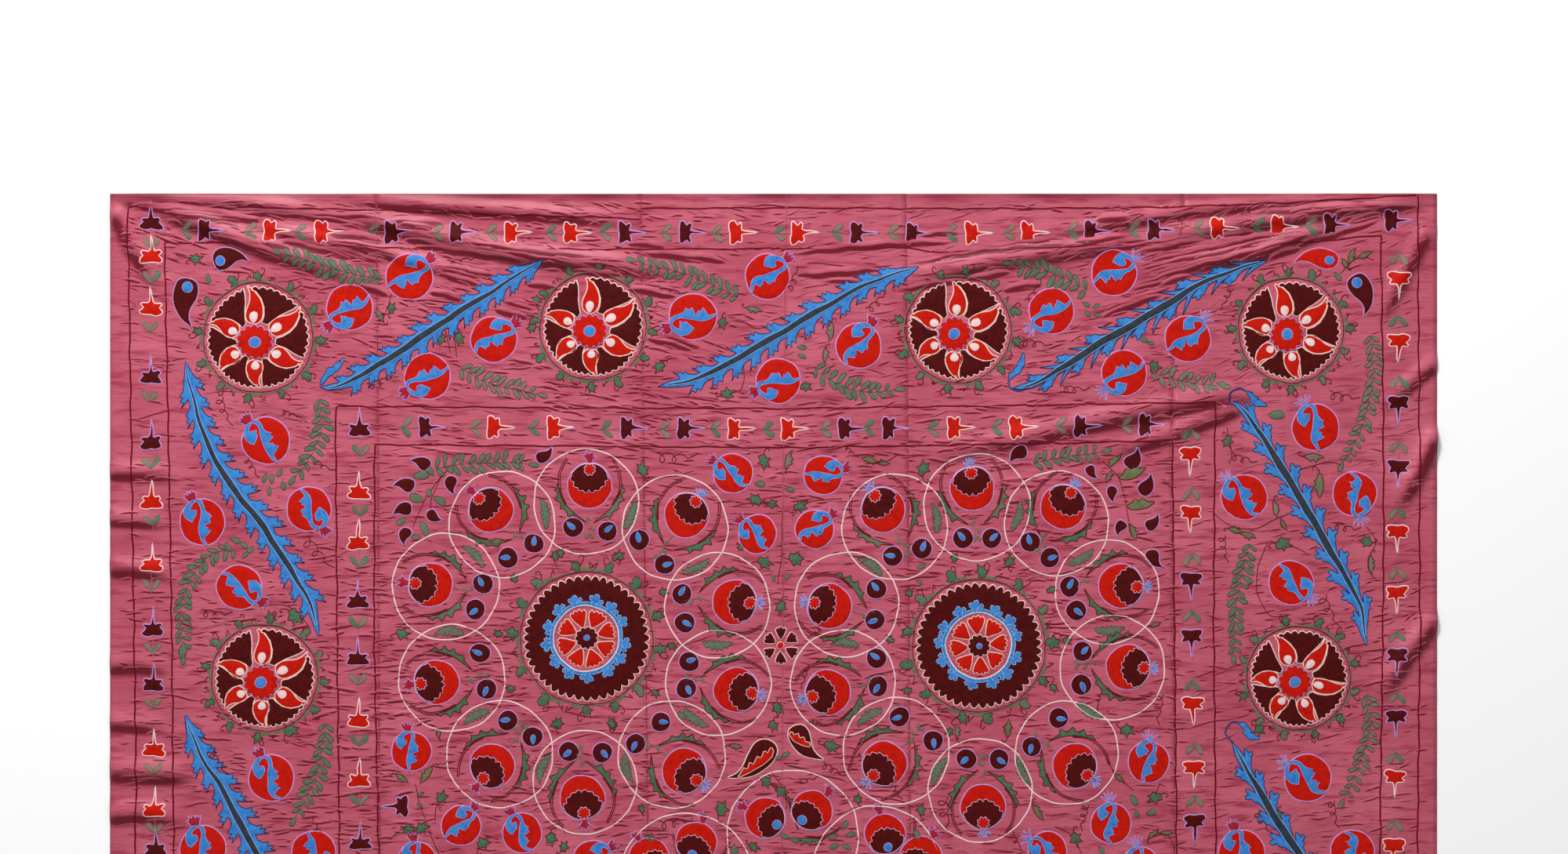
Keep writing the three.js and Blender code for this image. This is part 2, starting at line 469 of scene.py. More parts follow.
def tulip(x, y, degrees, red):
    """A small spiked tulip head."""
    thread, edge = ("red", "white") if red else ("maroon", "lavender")
    side = np.array(TULIP_SIDE)
    shift = rng.uniform(-0.9, 0.9, (2, *side.shape))
    upper = side + shift[0]
    lower = (side * (1, -1) + shift[1])[::-1]
    local = np.vstack([[(29, 0)], upper, [(-8.2, 0)], lower])
    patch(thread, edge, spline(placed(local, (x, y), degrees, 0.98), True, 2), 2.0)


SPRIG_STEM = [(-10, 0), (-20, 0.6), (-33, 0), (-38, -0.4)]
SPRIG_LEAF = [(-33, 0), (-30, 4.4), (-26.5, 9.4), (-20, 11.4), (-18.5, 7.6), (-22.5, 4), (-28, 1)]


def sprig(x, y, degrees, size):
    """A short stem behind a tulip's head, with two leaves that open towards the head."""
    sew_line("sage", placed(SPRIG_STEM, (x, y), degrees, size), 1.1)
    for side in (-1, 1):
        local = np.array(SPRIG_LEAF) * (1, side)
        local[2:5] += rng.uniform(-1.2, 1.2, (3, 2))
        outline = spline(placed(local, (x, y), degrees, size), True, 2)
        patch("fern" if rng.random() < 0.35 else "sage", "fern", outline, 1.1)


def crown_of(centre, radius, degrees, small=False):
    """The spiked calyx that stands out of a pomegranate."""
    shape = np.array(SMALL_CROWN if small else CROWN, float)
    shape[2:-2] += rng.uniform(-0.9, 0.9, (len(shape) - 4, 2))
    outline = placed(shape, polar(centre, radius, degrees), degrees, 1.3 if small else radius / 29.0)
    patch("wine", "lavender", outline, 1.3 if small else 1.6)


PRONG_LEANS = (-52, -27, -4, 20, 46)


def open_crown(centre, radius, degrees, core="blue", prong="lavender", size=1.0):
    """A crown of thin prongs about a small core."""
    foot = polar(centre, radius, degrees)
    sew_area(core, circle(polar(foot, 3.2 * size, degrees), 3.8 * size, 2.2))
    for lean in PRONG_LEANS:
        aim = degrees + lean + rng.uniform(-5, 5)
        start = polar(foot, 1.0, aim)
        for side in (-1, 1):
            bend = polar(foot, 8.0 * size, aim + 9 * side)
            tip = polar(foot, rng.uniform(13.5, 16.5) * size, aim + 2 * side)
            sew_line(prong, np.array([start, bend, tip]), 1.3)


# Half-widths of the scroll's long leaf, in fruit radii: share along it, plain side, lobed side
SCROLL_LEAF = np.array([
    (0.0, 0.05, 0.04), (0.12, 0.08, 0.06), (0.27, 0.08, 0.05), (0.34, 0.09, 0.16), (0.38, 0.09, 0.33),
    (0.43, 0.09, 0.22), (0.49, 0.09, 0.36), (0.55, 0.09, 0.13), (0.59, 0.09, 0.08), (0.63, 0.1, 0.3),
    (0.67, 0.1, 0.2), (0.72, 0.1, 0.38), (0.78, 0.09, 0.24), (0.83, 0.08, 0.06), (0.93, 0.05, 0.04),
    (1.0, 0.02, 0.02),
])
# The same of the small leaf that curls beside it
SCROLL_CURL = np.array([
    (0.0, 0.05, 0.03), (0.2, 0.09, 0.05), (0.38, 0.1, 0.07), (0.5, 0.14, 0.12), (0.6, 0.16, 0.36),
    (0.68, 0.17, 0.25), (0.76, 0.16, 0.29), (0.89, 0.09, 0.12), (1.0, 0.01, 0.01),
])
SCROLL_SIZE = 1.2


def scroll_part(way, widths, centre, crown, radius):
    """One leaf of a scroll along its way, which is in fruit radii from the fruit's middle."""
    path = spaced(spline(placed(way, centre, crown, radius), per=8), 2.2)
    along = np.linspace(0, 1, len(path))
    plain, lobed = (SCROLL_SIZE * radius * np.interp(along, widths[:, 0], widths[:, k]) for k in (1, 2))
    patch("blue", "lavender", ribbon(path, lobed, plain), 1.2, 1)


def arabesque(centre, radius, crown):
    """A blue scroll: a long lobed leaf from the crown across the fruit, and a small leaf curled beside it."""
    sway = rng.uniform(-0.05, 0.05, 4)
    long_way = [
        (0.98, 0.1), (0.87, 0.25), (0.55, 0.24 + sway[0]), (0.22, 0.08 + sway[1]), (-0.14, -0.1),
        (-0.5, -0.24 + sway[2]), (-0.78, -0.24 + sway[3]), (-0.97, -0.16 + 4 * sway[3]),
    ]
    curl_way = [(0.98, 0.06), (0.94, -0.16), (0.8, -0.36), (0.56, -0.42 + sway[0]), (0.2, -0.46 + sway[1])]
    scroll_part(long_way, SCROLL_LEAF, centre, crown, radius)
    scroll_part(curl_way, SCROLL_CURL, centre, crown, radius)


def pomegranate(x, y, radius, crown):
    """A red fruit with a blue scroll inside and a small crown, which is open on the cloth's right side."""
    centre = (x, y)
    if x > OPEN_CROWNS_FROM and (x, y) != RED_CROWN_ON_RIGHT:
        open_crown(centre, radius, crown)
    else:
        crown_of(centre, radius, crown)
    patch("red", "lavender", circle(centre, radius), 2.2)
    arabesque(centre, radius, crown)


# A fruit's cap: its hub, as a share of the fruit's radius from its middle, its rim and its scallops
CAP_HUB = 0.58
CAP_RIM = 0.93
CAP_NOTCH = 4.8
CAP_SCALLOPS = 9


def capped_pomegranate(x, y, radius, crown, thread, far_cap=False):
    """A red fruit with a scalloped maroon cap at its crown, or at its far side with a blue dot."""
    centre = np.array([x, y], float)
    if thread == "navy":
        open_crown(centre, radius, crown, "navy", "pale_blue", 0.75)
    else:
        crown_of(centre, radius, crown, True)
    patch("red", "lavender", circle(centre, radius), 2.1)
    side = crown + 180 if far_cap else crown
    hub = polar(centre, CAP_HUB * radius, side)
    degrees = side + 180 + np.arange(-180, 180, 3.0)
    lobes = np.abs(np.sin(np.radians((degrees - side) * CAP_SCALLOPS))) ** 0.6
    scallops = CAP_RIM * radius - CAP_NOTCH * (1 - lobes)
    edge = np.minimum(scallops, reach_of(hub, centre, radius - 0.8, degrees))
    patch("maroon", "pale_edge", polar(hub, edge, degrees), 1.3, 1)
    if far_cap:
        patch("blue", "lavender", circle(polar(centre, 0.66 * radius, side), 5.8, 2.2), 1.2, 2)
    else:
        floret = scalloped(polar(centre, 0.7 * radius, side), 8.0, 2.4, 8, 4, side)
        patch("red", "pale_edge", floret, 1.3, 2)


# The vine's long leaf beside a fruit. Inner side: share along it, distance from the fruit's middle.
VINE_INNER = [(0.0, 47.0), (0.2, 41.0), (0.5, 38.6), (0.78, 38.2), (1.0, 42.0)]
# Its lobed outer side: share along it, distance beyond the inner side
VINE_LOBES = [
    (0.0, 0.4), (0.14, 2.0), (0.26, 3.0), (0.3, 9.5), (0.38, 4.6), (0.46, 6.4), (0.52, 11.5), (0.57, 4.6),
    (0.64, 5.6), (0.7, 11.0), (0.74, 4.0), (0.82, 3.0), (0.88, 6.4), (0.9, 2.2), (1.0, 0.3),
]
# The radius of the vine's double stem around a fruit, and how far it leaves the fruit towards its end
VINE_STEM = 37.0
VINE_STEM_BEND = 6.0


def vine_arc(fruit, inward, side, span=86.0, size=1.0):
    """A long leaf that hugs one side of a fruit, lobed on its outer side, and the double stem it grows on."""
    inner_share, inner_away = np.array(VINE_INNER).T
    share, beyond = np.array(VINE_LOBES).T
    share = share + rng.uniform(-0.015, 0.015, len(share))
    beyond = beyond * rng.uniform(0.8, 1.1, len(beyond))
    start = inward + side * rng.uniform(4, 14)

    def around(away, along):
        return polar(fruit, size * away, start + side * span * along)

    outer = around(np.interp(share, inner_share, inner_away) + beyond, share)
    back = np.array([0.85, 0.65, 0.45, 0.25])
    inner = around(np.interp(back, inner_share, inner_away), back)
    patch(mostly_green(0.75), "brown", np.vstack([outer, inner]), 1.8)
    way = np.linspace(0.5, 1.55, 8)
    for gap in (0.0, 2.4):
        sew_line("brown", around(VINE_STEM + gap + VINE_STEM_BEND * (way - 0.5) ** 2, way), 1.5)


SEED_DISC_RADIUS = 12.9
SEED_TIP = 10.4
SEED_LENGTH, SEED_WIDTH = 13.6, 6.2


def seed_disc(x, y, aim):
    """A maroon disc with a slim blue drop in it, whose point is near the rim."""
    patch("maroon", "lavender", circle((x, y), SEED_DISC_RADIUS, 2.8), 1.7)
    aim += rng.uniform(-12, 12)
    tip = polar((x, y), SEED_TIP, aim)
    drop("blue", "pale_blue", tip, aim + 180 + rng.uniform(-8, 8), SEED_LENGTH, SEED_WIDTH)


# Barbs of saz leaves: share of the pitch along, share of the leaf's half-width out
FULL_BARB = [
    (0.06, 0.42), (-0.08, 0.66), (-0.3, 1.1), (-0.06, 0.8), (0.02, 1.12), (0.16, 0.74), (0.32, 1.0),
    (0.42, 0.66), (0.72, 0.42),
]
SPIKE_BARB = [(0.4, 0.26), (0.06, 0.56), (-0.42, 1.12), (0.12, 0.72), (0.62, 0.4)]
BROAD_BARB = [
    (0.12, 0.26), (-0.22, 0.42), (-0.52, 0.66), (-0.16, 0.66), (-0.3, 0.96), (-0.04, 0.98), (0.08, 0.76),
    (0.26, 0.86), (0.4, 0.6), (0.8, 0.32),
]
FINGER_BARB = [
    (0.0, 0.3), (-0.26, 0.5), (-0.38, 0.66), (-0.28, 0.76), (-0.08, 0.68), (-0.14, 0.94), (-0.04, 1.06),
    (0.06, 0.9), (0.1, 0.68), (0.24, 0.72), (0.32, 0.5), (0.78, 0.3),
]


# A saz leaf: its two foot points on each side, as shares of its length and of its half-width
SAZ_FOOT = [(0.035, 0.16), (0.075, 0.25)]
# Where its first barb is, and the share of its length that bears barbs
FIRST_BARB = 0.1
BARBED_SHARE = 0.86
SAZ_STEP = 0.001
# Its dark midrib: from and to, as shares of its length, and how far the pale line is from it
RIB_FROM, RIB_TO = 0.04, 0.97
RIB_GAP = 0.6


def saz_leaf(points, half, lobes, rib_half, barbs):
    """A long serrated leaf from its base to its tip, with barbs that point back and a dark midrib."""
    path = spaced(spline(points, per=12), 2.0)
    along = np.linspace(0, 1, len(path))

    def at(share):
        return np.array([np.interp(share, along, path[:, 0]), np.interp(share, along, path[:, 1])])

    def beside(share, away):
        share = min(max(share, 0), 1 - SAZ_STEP)
        here, ahead = at(share), at(share + SAZ_STEP)
        step = (ahead - here) / max(np.hypot(*(ahead - here)), 1e-9)
        return here + away * np.array([-step[1], step[0]])

    def width(share):
        return half * (0.45 + 0.55 * math.sin(math.pi * min(share * 0.94 + 0.05, 1.0)) ** 0.6)

    pitch = BARBED_SHARE / lobes
    sides = []
    for side in (-1, 1):
        edge = [beside(share, side * away * half) for share, away in SAZ_FOOT]
        for k in range(lobes):
            s = FIRST_BARB + pitch * (k + 0.25 * side)
            w = width(s) * rng.uniform(0.88, 1.08) * (1.06 if side > 0 else 0.94)
            edge += [beside(s + ahead * pitch, side * away * w) for ahead, away in barbs[k % len(barbs)]]
        sides.append(np.array(edge))
    outline = np.vstack([[at(0.0)], sides[0], [at(1.0)], sides[1][::-1]])
    patch("blue", "navy", outline, 1.4)
    rib = spaced(path[int(RIB_FROM * len(path)) : int(RIB_TO * len(path))], 6.0)
    t = np.linspace(0, 1, len(rib))
    thick = rib_half * np.minimum(1, 0.12 + 2.2 * (1 - t)) * np.minimum(1, 0.12 + 3.4 * t)
    sew_area("slate", ribbon(rib, thick, thick), 1)
    beyond = sideways(rib) * (thick + RIB_GAP)[:, None]
    for side in (-1, 1):
        sew_line("sky", rib - side * beyond, 1.0, False, 1)


CURL_SIZE = 6.5
CURL_LOBES = 3.5


def leaf_curl(points, bare):
    """The small curled leaf that springs from the foot of a saz leaf. Its first share is bare stem."""
    path = spline(points, per=7)
    t = np.linspace(0, 1, len(path))
    leafy = np.clip((t - bare) / (1 - bare), 0, 1)
    lobes = 0.45 + 0.55 * np.abs(np.sin(leafy * CURL_LOBES * math.pi))
    swell = CURL_SIZE * np.sin(math.pi * leafy) ** 0.8 * lobes + 0.9
    patch("blue", "navy", ribbon(path, swell, swell * 0.45), 1.2)


FERN_LEAFLET = [
    (-0.05, 0), (0.28, 0.15), (0.7, 0.21), (1.0, 0.07), (0.94, -0.12), (0.66, -0.19), (0.3, -0.14),
]
FERN_PITCH = 10.5


def fern(points, leaflet, thread):
    """A spray of blunt narrow leaves in pairs along a stem, from its foot to its tip."""
    path = spaced(spline(points, per=8), FERN_PITCH)
    sew_line(thread, path, 1.2)
    for k in range(len(path) - 1):
        aim = direction(path[k], path[k + 1])
        share = k / len(path)
        size = leaflet * (0.8 + 0.3 * math.sin(math.pi * min(share + 0.15, 1)))
        for side, spread in ((-1, rng.uniform(44, 78)), (1, rng.uniform(26, 58))):
            local = np.array(FERN_LEAFLET)
            local[1:] += rng.uniform(-0.04, 0.04, (6, 2))
            length = size * rng.uniform(0.9, 1.2)
            patch(thread, "dark_green", placed(local, path[k], aim + side * spread, length), 0.9)
    tip = direction(path[-2], path[-1])
    drop(thread, "dark_green", path[-1], tip, leaflet * 1.1, 6.4, 0)


def paisley(x, y, degrees, length, width, thread, edge, dot=None, flip=False):
    """A bent tear, from its round head to its tip. x and y are the middle of it."""
    root = polar((x, y), 0.46 * length, degrees + 180)
    outline = placed(np.array(ALMOND) * (length, width), root, degrees, 1.0, flip)
    patch(thread, edge, spline(outline, True, 3), 1.8)
    if dot:
        patch(dot, "lavender", circle(polar(root, 0.2 * length, degrees), 0.46 * width, 2.4), 1.2, 1)


# The shares of a tendril that are wound in loops and straight, its half turns, and its sizes in pixels
LOOPED_SHARE, TAIL_SHARE = 0.66, 0.34
HALF_TURNS = 4.6
LOOP_RADIUS = 5.5
TENDRIL_LENGTH = 44
TAIL_RISE = 7


def tendril(x, y, degrees, size):
    """A brown line that makes two loops and runs out straight."""
    t = np.linspace(0, 1, 40)
    wind = np.minimum(t / LOOPED_SHARE, 1.0) * HALF_TURNS * math.pi
    looped = np.clip(1.2 - 0.5 * t / LOOPED_SHARE, 0, 1) * (t < LOOPED_SHARE)
    fade = looped + (t >= LOOPED_SHARE) * 0.62 * (1 - (t - LOOPED_SHARE) / TAIL_SHARE)
    across = TENDRIL_LENGTH * t - TENDRIL_LENGTH / 2 + LOOP_RADIUS * np.sin(wind) * fade
    up = -LOOP_RADIUS * np.cos(wind) * fade - TAIL_RISE * t**3
    sew_line("brown", placed(np.stack([across, up], 1), (x, y), degrees, size), 1.3)


# Layout tables.

# x, y, radius of the ring, turn in degrees
ROSETTES = [
    (325, 436, 70.5, 0),
    (752, 422, 68.5, 0),
    (1217.5, 426, 68.0, 4),
    (1642, 426.5, 67.5, -8),
    (333, 870, 68.5, 3),
    (1651.8, 870, 66.5, -20),
]
MIDDLE_ROSETTES = [(333, 1280, 68.0, -2), (1652, 1280, 67.0, 6)]

# Guard lines: a run of points each
GUARD_LINES = [
    [
        (166, 1280), (172, 1089), (174, 1000), (168, 600), (163, 264), (330, 265), (480, 268), (650, 274),
        (816, 279),
    ],
    [(818, 266), (1000, 265), (1155, 266), (1320, 266), (1500, 264), (1640, 259), (1806, 249)],
    [(1808, 1280), (1808, 1089), (1811, 800), (1810, 500), (1808, 249)],
    [
        (224, 1280), (222, 1089), (219, 800), (215, 560), (212, 420), (210, 309), (360, 311), (540, 317),
        (820, 318),
    ],
    [(820, 318), (1000, 317), (1155, 316), (1200, 322), (1400, 313), (1590, 315), (1690, 307), (1761, 300)],
    [(1760, 1280), (1760, 1089), (1765, 700), (1764, 480), (1761, 300)],
    [(433, 1280), (433, 1089), (430, 800), (428, 518), (700, 520), (1000, 521), (1300, 517), (1550, 513)],
    [(1551, 1280), (1551, 1089), (1548, 800), (1550, 513)],
    [(483, 1280), (483, 1089), (477, 800), (478, 567), (760, 569), (1000, 571), (1250, 567), (1495, 562)],
    [(1502, 1280), (1501, 1089), (1498, 800), (1495, 562)],
]

# Rows of tulips: where along the row each head is, with R for red and D for dark
TOP_OUTER = (
    "262D 345R 411R 500D 583D 652R 728R 798D 875D 939R 1018R 1094D 1164D 1240R 1312R 1392D 1472D 1553R "
    "1630R 1697D"
)
TOP_INNER = "543D 630R 706R 800D 873D 937R 1005R 1078D 1134D 1217R 1297R 1379D 1461D"
LEFT_OUTER = "284D 327R 393R 480D 564D 640R 720R 802D 873D 956R 1032R 1084D 1166D 1243R"
LEFT_INNER = "548D 628R 691R 767D 840D 918R 995R 1075D 1152D 1230R"
RIGHT_OUTER = "356R 435R 514D 596D 679R 756R 836D 915D 991R 1078R 1160D 1240D"
RIGHT_INNER = "580R 654R 739D 812D 898R 979R 1048D 1130D 1212R"

# Each row's heads, the line that they stand on, and their direction. A level row's places are along x.
TULIP_ROWS = [
    (
        TOP_OUTER,
        [(240, 294), (480, 296), (820, 297), (1100, 297), (1300, 297), (1500, 293), (1700, 287), (1800, 280)],
        0,
    ),
    (TOP_INNER, [(480, 545), (1000, 547), (1300, 545), (1500, 541)], 0),
    (LEFT_OUTER, [(193, 250), (192, 500), (195, 800), (198, 1089), (198, 1280)], -90),
    (LEFT_INNER, [(459, 540), (456, 800), (460, 1089), (460, 1280)], -90),
    (RIGHT_OUTER, [(1784, 330), (1783, 600), (1781, 900), (1778, 1089), (1778, 1280)], 90),
    (RIGHT_INNER, [(1518, 560), (1520, 800), (1525, 1089), (1526, 1280)], 90),
]
# The tulip at the end of the top row has no sprig: x, y, direction, and whether it is red
CORNER_TULIP = (1775, 281, 0, False)

# Fruit further right than this have open crowns, all but one
OPEN_CROWNS_FROM = 1250
RED_CROWN_ON_RIGHT = (1584, 1087)

# x, y, radius and the direction of the crown
SCROLL_FRUIT = [
    (446, 392, 29.5, 138), (522, 353, 29.5, -40), (630, 433, 29, -38), (545, 480, 29, 144),
    (884, 404, 30, 156), (979, 353, 28.5, -43), (1095, 441, 29, -60), (993, 486, 28, 156),
    (1341, 397, 29, 140), (1421, 348, 29, -35), (1515, 432, 29.5, -50), (1434, 476, 29, 142),
    (339, 562, 30, -132), (258, 666, 29, -113), (394, 649, 28.5, 55), (305, 749, 28.5, 32),
    (346, 992, 29, -117), (259, 1082, 29, -108), (400, 1088, 28.5, 55), (312, 1178, 28.5, 35),
    (1678, 545, 30, -114), (1587, 634, 29, -132), (1728, 630, 28, 76), (1647, 743, 28, 41),
    (1668, 992, 30, -147), (1584, 1087, 29, -108), (1725, 1087, 28, 70), (1644, 1196, 28, 41),
    (935, 604, 25, -147), (966, 681, 24.5, -140), (1050, 606, 25, -17), (1039, 675, 24.5, -39),
    (525, 958, 25, -101), (588, 1053, 25, -53), (666, 1062, 25, -120), (532, 1099, 25, -100),
    (756, 1096, 24.5, -33), (1465, 972, 26, -86), (1417, 1050, 25.5, -94), (1336, 1085, 25, -147),
    (1454, 1104, 24, -100),
]

# The shapes of a saz leaf's barbs, which take turns along it
LEFT_BARBS = [FULL_BARB]
TOP_RIGHT_BARBS = [BROAD_BARB, SPIKE_BARB]
RIGHT_BARBS = [FINGER_BARB]
# Saz leaves: the way from base to tip, half-width, barbs on a side, the rib's half-width, shapes of the barbs
SAZ_LEAVES = [
    ([(408, 494), (436, 491), (500, 455), (560, 414), (625, 373), (693, 330)], 20, 12, 3.5, LEFT_BARBS),
    ([(839, 494), (900, 478), (980, 434), (1050, 393), (1112, 360), (1173, 340)], 20, 12, 3.5, LEFT_BARBS),
    (
        [(1290, 496), (1330, 484), (1400, 440), (1470, 400), (1540, 358), (1617, 331)],
        19, 14, 4.3, TOP_RIGHT_BARBS,
    ),
    (
        [(407, 812), (393, 764), (361, 711), (330, 663), (298, 623), (265, 566), (241, 488), (237, 461)],
        21.5, 13, 3.6, LEFT_BARBS,
    ),
    (
        [(405, 1236), (392, 1195), (362, 1146), (319, 1073), (281, 1002), (256, 964), (236, 911)],
        21.5, 13, 3.6, LEFT_BARBS,
    ),
    (
        [(1566, 512), (1585, 522), (1612, 560), (1656, 632), (1701, 710), (1734, 770), (1743, 824)],
        21, 10, 4.3, RIGHT_BARBS,
    ),
    (
        [(1571, 946), (1600, 998), (1643, 1069), (1690, 1130), (1722, 1180), (1738, 1232)],
        21, 9, 4.3, RIGHT_BARBS,
    ),
]
# The ways of the small curled leaves at the feet of saz leaves, and the share of each that is bare stem
LEAF_CURLS = [
    ([(410, 492), (419, 478), (430, 470), (439, 456)], 0.0),
    (
        [
            (1312, 492), (1300, 498), (1289, 496), (1286, 488), (1290, 480), (1299, 473), (1304, 463),
            (1307, 449),
        ],
        0.5,
    ),
    ([(1567, 513), (1570, 500), (1582, 496), (1594, 504), (1601, 514), (1616, 517)], 0.5),
    ([(1573, 948), (1564, 934), (1572, 920), (1586, 926), (1592, 938), (1606, 942)], 0.5),
]

# Ferns: the stem from foot to tip, the leaflets' length and the thread
FERNS = [
    ([(486, 356), (455, 350), (420, 340), (385, 330), (362, 324)], 15, "fern"),
    ([(588, 470), (615, 484), (650, 495), (684, 503)], 14, "olive"),
    ([(940, 378), (905, 362), (870, 347), (835, 340), (812, 334)], 14, "fern"),
    ([(1040, 470), (1070, 490), (1105, 500), (1140, 497)], 14, "fern"),
    ([(1386, 368), (1360, 356), (1330, 344), (1295, 337)], 15, "fern"),
    ([(1470, 474), (1500, 484), (1530, 490), (1556, 492)], 13, "olive"),
    ([(408, 509), (410, 545), (398, 580), (378, 606)], 14, "fern"),
    ([(288, 700), (262, 712), (240, 745), (231, 780), (233, 834)], 13, "fern"),
    ([(415, 924), (410, 965), (396, 1005), (378, 1040)], 14, "fern"),
    ([(1749, 429), (1752, 480), (1738, 540), (1714, 589)], 13, "olive"),
    ([(1594, 694), (1584, 730), (1576, 780), (1574, 834)], 13, "fern"),
    ([(1743, 888), (1748, 924), (1736, 970), (1714, 1018)], 13, "olive"),
    ([(1320, 590), (1350, 584), (1385, 578), (1404, 576)], 13, "fern"),
    ([(415, 1130), (408, 1160), (395, 1190)], 12, "fern"),
    ([(1590, 1140), (1578, 1180), (1572, 1220)], 12, "fern"),
    ([(556, 597), (580, 593), (612, 590), (645, 589), (673, 592)], 14, "fern"),
]

# Fruit in the rings as far right as this have red crowns, and the others have blue ones
RED_CROWNS_TO = 760
# White rings about each medallion: x, y, radius of each ring, then the fruit in it and its crown.
# In the central ones, radius 0 stands for a second fruit in the same ring.
LEFT_MEDALLION = (748, 814)
LEFT_RINGS = [
    (747.8, 640, 67, 752, 619, -90), (861.3, 673, 67, 876, 657, -57), (915, 772, 67, 937, 768, 2),
    (916.2, 871.3, 67, 939, 880, 12), (857, 962, 68.5, 873, 983, 37), (746, 997.8, 66, 743, 1017, 86),
    (637.5, 961.8, 68, 628, 977, 128), (576.4, 864.7, 68, 557, 870, 174),
    (568.7, 748.4, 68, 549, 746, -175), (640.5, 668.5, 67.8, 626, 650, -137),
]
RIGHT_MEDALLION = (1248.5, 823.5)
RIGHT_RINGS = [
    (1246, 647, 68, 1240, 623, -95), (1347.7, 667.5, 66.5, 1356, 646, -60), (1412, 755, 66.4, 1430, 747, 3),
    (1419, 851.5, 66.8, 1439, 851, 3), (1360.7, 960, 66, 1371, 977, 36), (1250, 1008, 66, 1254, 1029, 90),
    (1143, 957.6, 68, 1128, 974, 135), (1075.2, 870.7, 67, 1056, 883, 166),
    (1079.8, 771, 66.5, 1058, 773, -168), (1141.4, 671.9, 67.5, 1126, 650, -121),
]
CENTRAL_MEDALLION = (1003, 1280)
CENTRAL_RINGS = [
    (1011, 1066, 84, 976, 1043, -153), (1011, 1066, 0, 1035.5, 1033.5, -47),
    (1118.5, 1108.7, 81, 1129, 1064, -102), (1118.5, 1108.7, 0, 1175, 1092, -60),
    (875, 1123, 86, 888, 1074, -72), (875, 1123, 0, 828, 1094, -120), (1200, 1216, 82, 1235, 1195, -20),
    (1200, 1216, 0, 1236, 1246, 20), (806, 1216, 84, 770, 1195, -160), (806, 1216, 0, 768, 1246, 160),
]

# Fruit and leaves that finish the field beside the central medallion, below the photograph's edge
UNSEEN_FRUIT = [
    (480, 1150, 25, 120), (556, 1205, 26, -60), (650, 1172, 26, 150), (476, 1262, 25, 20),
    (640, 1262, 25, -130), (1330, 1180, 26, 30), (1420, 1150, 26, -140), (1505, 1205, 25, 60),
    (1370, 1262, 25, 170), (1500, 1262, 25, -40),
]
UNSEEN_LEAVES = [
    (520, 1160, 60), (600, 1150, -20), (512, 1210, 150), (604, 1228, 80), (684, 1220, 10), (560, 1262, -90),
    (700, 1268, 40), (440, 1200, 30), (1298, 1220, 130), (1376, 1140, 200), (1462, 1180, 100),
    (1412, 1212, -40), (1455, 1250, 60), (1320, 1264, -150), (1540, 1150, 70), (1535, 1250, 140),
    (1465, 1120, 20), (690, 1120, 160),
]

# Small maroon discs, x and y
SEED_DISCS = [
    (681, 693), (648, 711), (616, 745), (606, 777), (612, 833), (621, 879), (648, 919), (679, 940),
    (726, 958), (768, 960), (731, 673), (775, 677), (815, 689), (848, 720), (870, 758), (873, 794),
    (879, 844), (875, 878), (843, 921), (811, 948), (1139, 709), (1176, 700), (1118, 751), (1116, 790),
    (1118, 840), (1120, 875), (1147, 914), (1190, 945), (1233, 968), (1274, 968), (1228, 686), (1265, 687),
    (1314, 691), (1339, 711), (1364, 748), (1373, 778), (1381, 831), (1379, 873), (1350, 916), (1316, 952),
]

# The red half of each of the two paisleys between the medallions
TWO_TONE_LEFT = [
    (940, 992), (948, 979), (953, 982), (956, 972), (961, 976), (965, 965), (970, 968), (974, 957),
    (979, 960), (983, 952), (987, 955), (985, 964), (973, 976), (955, 986),
]
TWO_TONE_RIGHT = [
    (1006, 936), (1010, 932), (1013, 938), (1018, 935), (1020, 942), (1026, 940), (1028, 947), (1033, 946),
    (1035, 953), (1024, 951), (1013, 946),
]

# Small dark paisleys in the field's corners: x, y, direction of the tip and size
DARK_TEARS = [
    (537, 590, -150, 1.1), (516, 619, -165, 1.2), (514, 650, 170, 1.1), (576, 618, 92, 1.0),
    (553, 659, 42, 0.95), (516, 683, 112, 1.0), (695, 580, -32, 1.1), (1298, 579, 150, 1.2),
    (1446, 586, -52, 1.25), (1463, 619, -55, 1.25), (1470, 666, -42, 1.0), (1393, 602, 62, 0.9),
    (1418, 629, 96, 0.9), (1429, 673, 122, 0.9), (1473, 713, 66, 1.2),
]

# Brown tendrils: x, y, direction of the tail and size
TENDRILS = [
    (590, 334, -8, 0.9), (285, 526, 75, 0.9), (856, 374, 12, 0.9), (1014, 356, -62, 0.8),
    (1120, 386, -40, 0.8), (1322, 372, -50, 0.8), (1322, 440, 14, 0.9), (486, 488, -14, 0.8),
    (372, 530, 20, 0.6), (1372, 498, 5, 0.8), (1482, 331, 10, 0.7), (863, 585, 3, 1.2),
    (1085, 578, 40, 0.5), (1038, 806, 150, 0.5), (1024, 864, 110, 0.6), (1044, 922, 20, 0.5),
    (1062, 984, 32, 0.8), (1030, 995, -6, 0.6), (1098, 970, 70, 0.5), (1142, 1010, 60, 0.6),
    (1204, 1042, 85, 1.2), (1380, 1042, 105, 0.8), (1476, 904, 98, 0.9), (1296, 1076, 65, 0.7),
    (862, 1051, -4, 1.0), (320, 598, 62, 0.7), (404, 708, 52, 1.2), (412, 596, 30, 0.7), (276, 784, 8, 0.9),
    (1562, 380, 120, 0.7), (1586, 587, 22, 0.8), (1714, 508, 14, 0.9), (1560, 700, 84, 0.8),
    (1718, 674, 12, 0.8), (1694, 780, 70, 1.0), (1400, 895, 100, 0.5), (278, 975, 60, 0.8),
    (404, 1060, 60, 0.8), (1610, 1050, 60, 0.8), (1700, 1040, 80, 0.8),
]

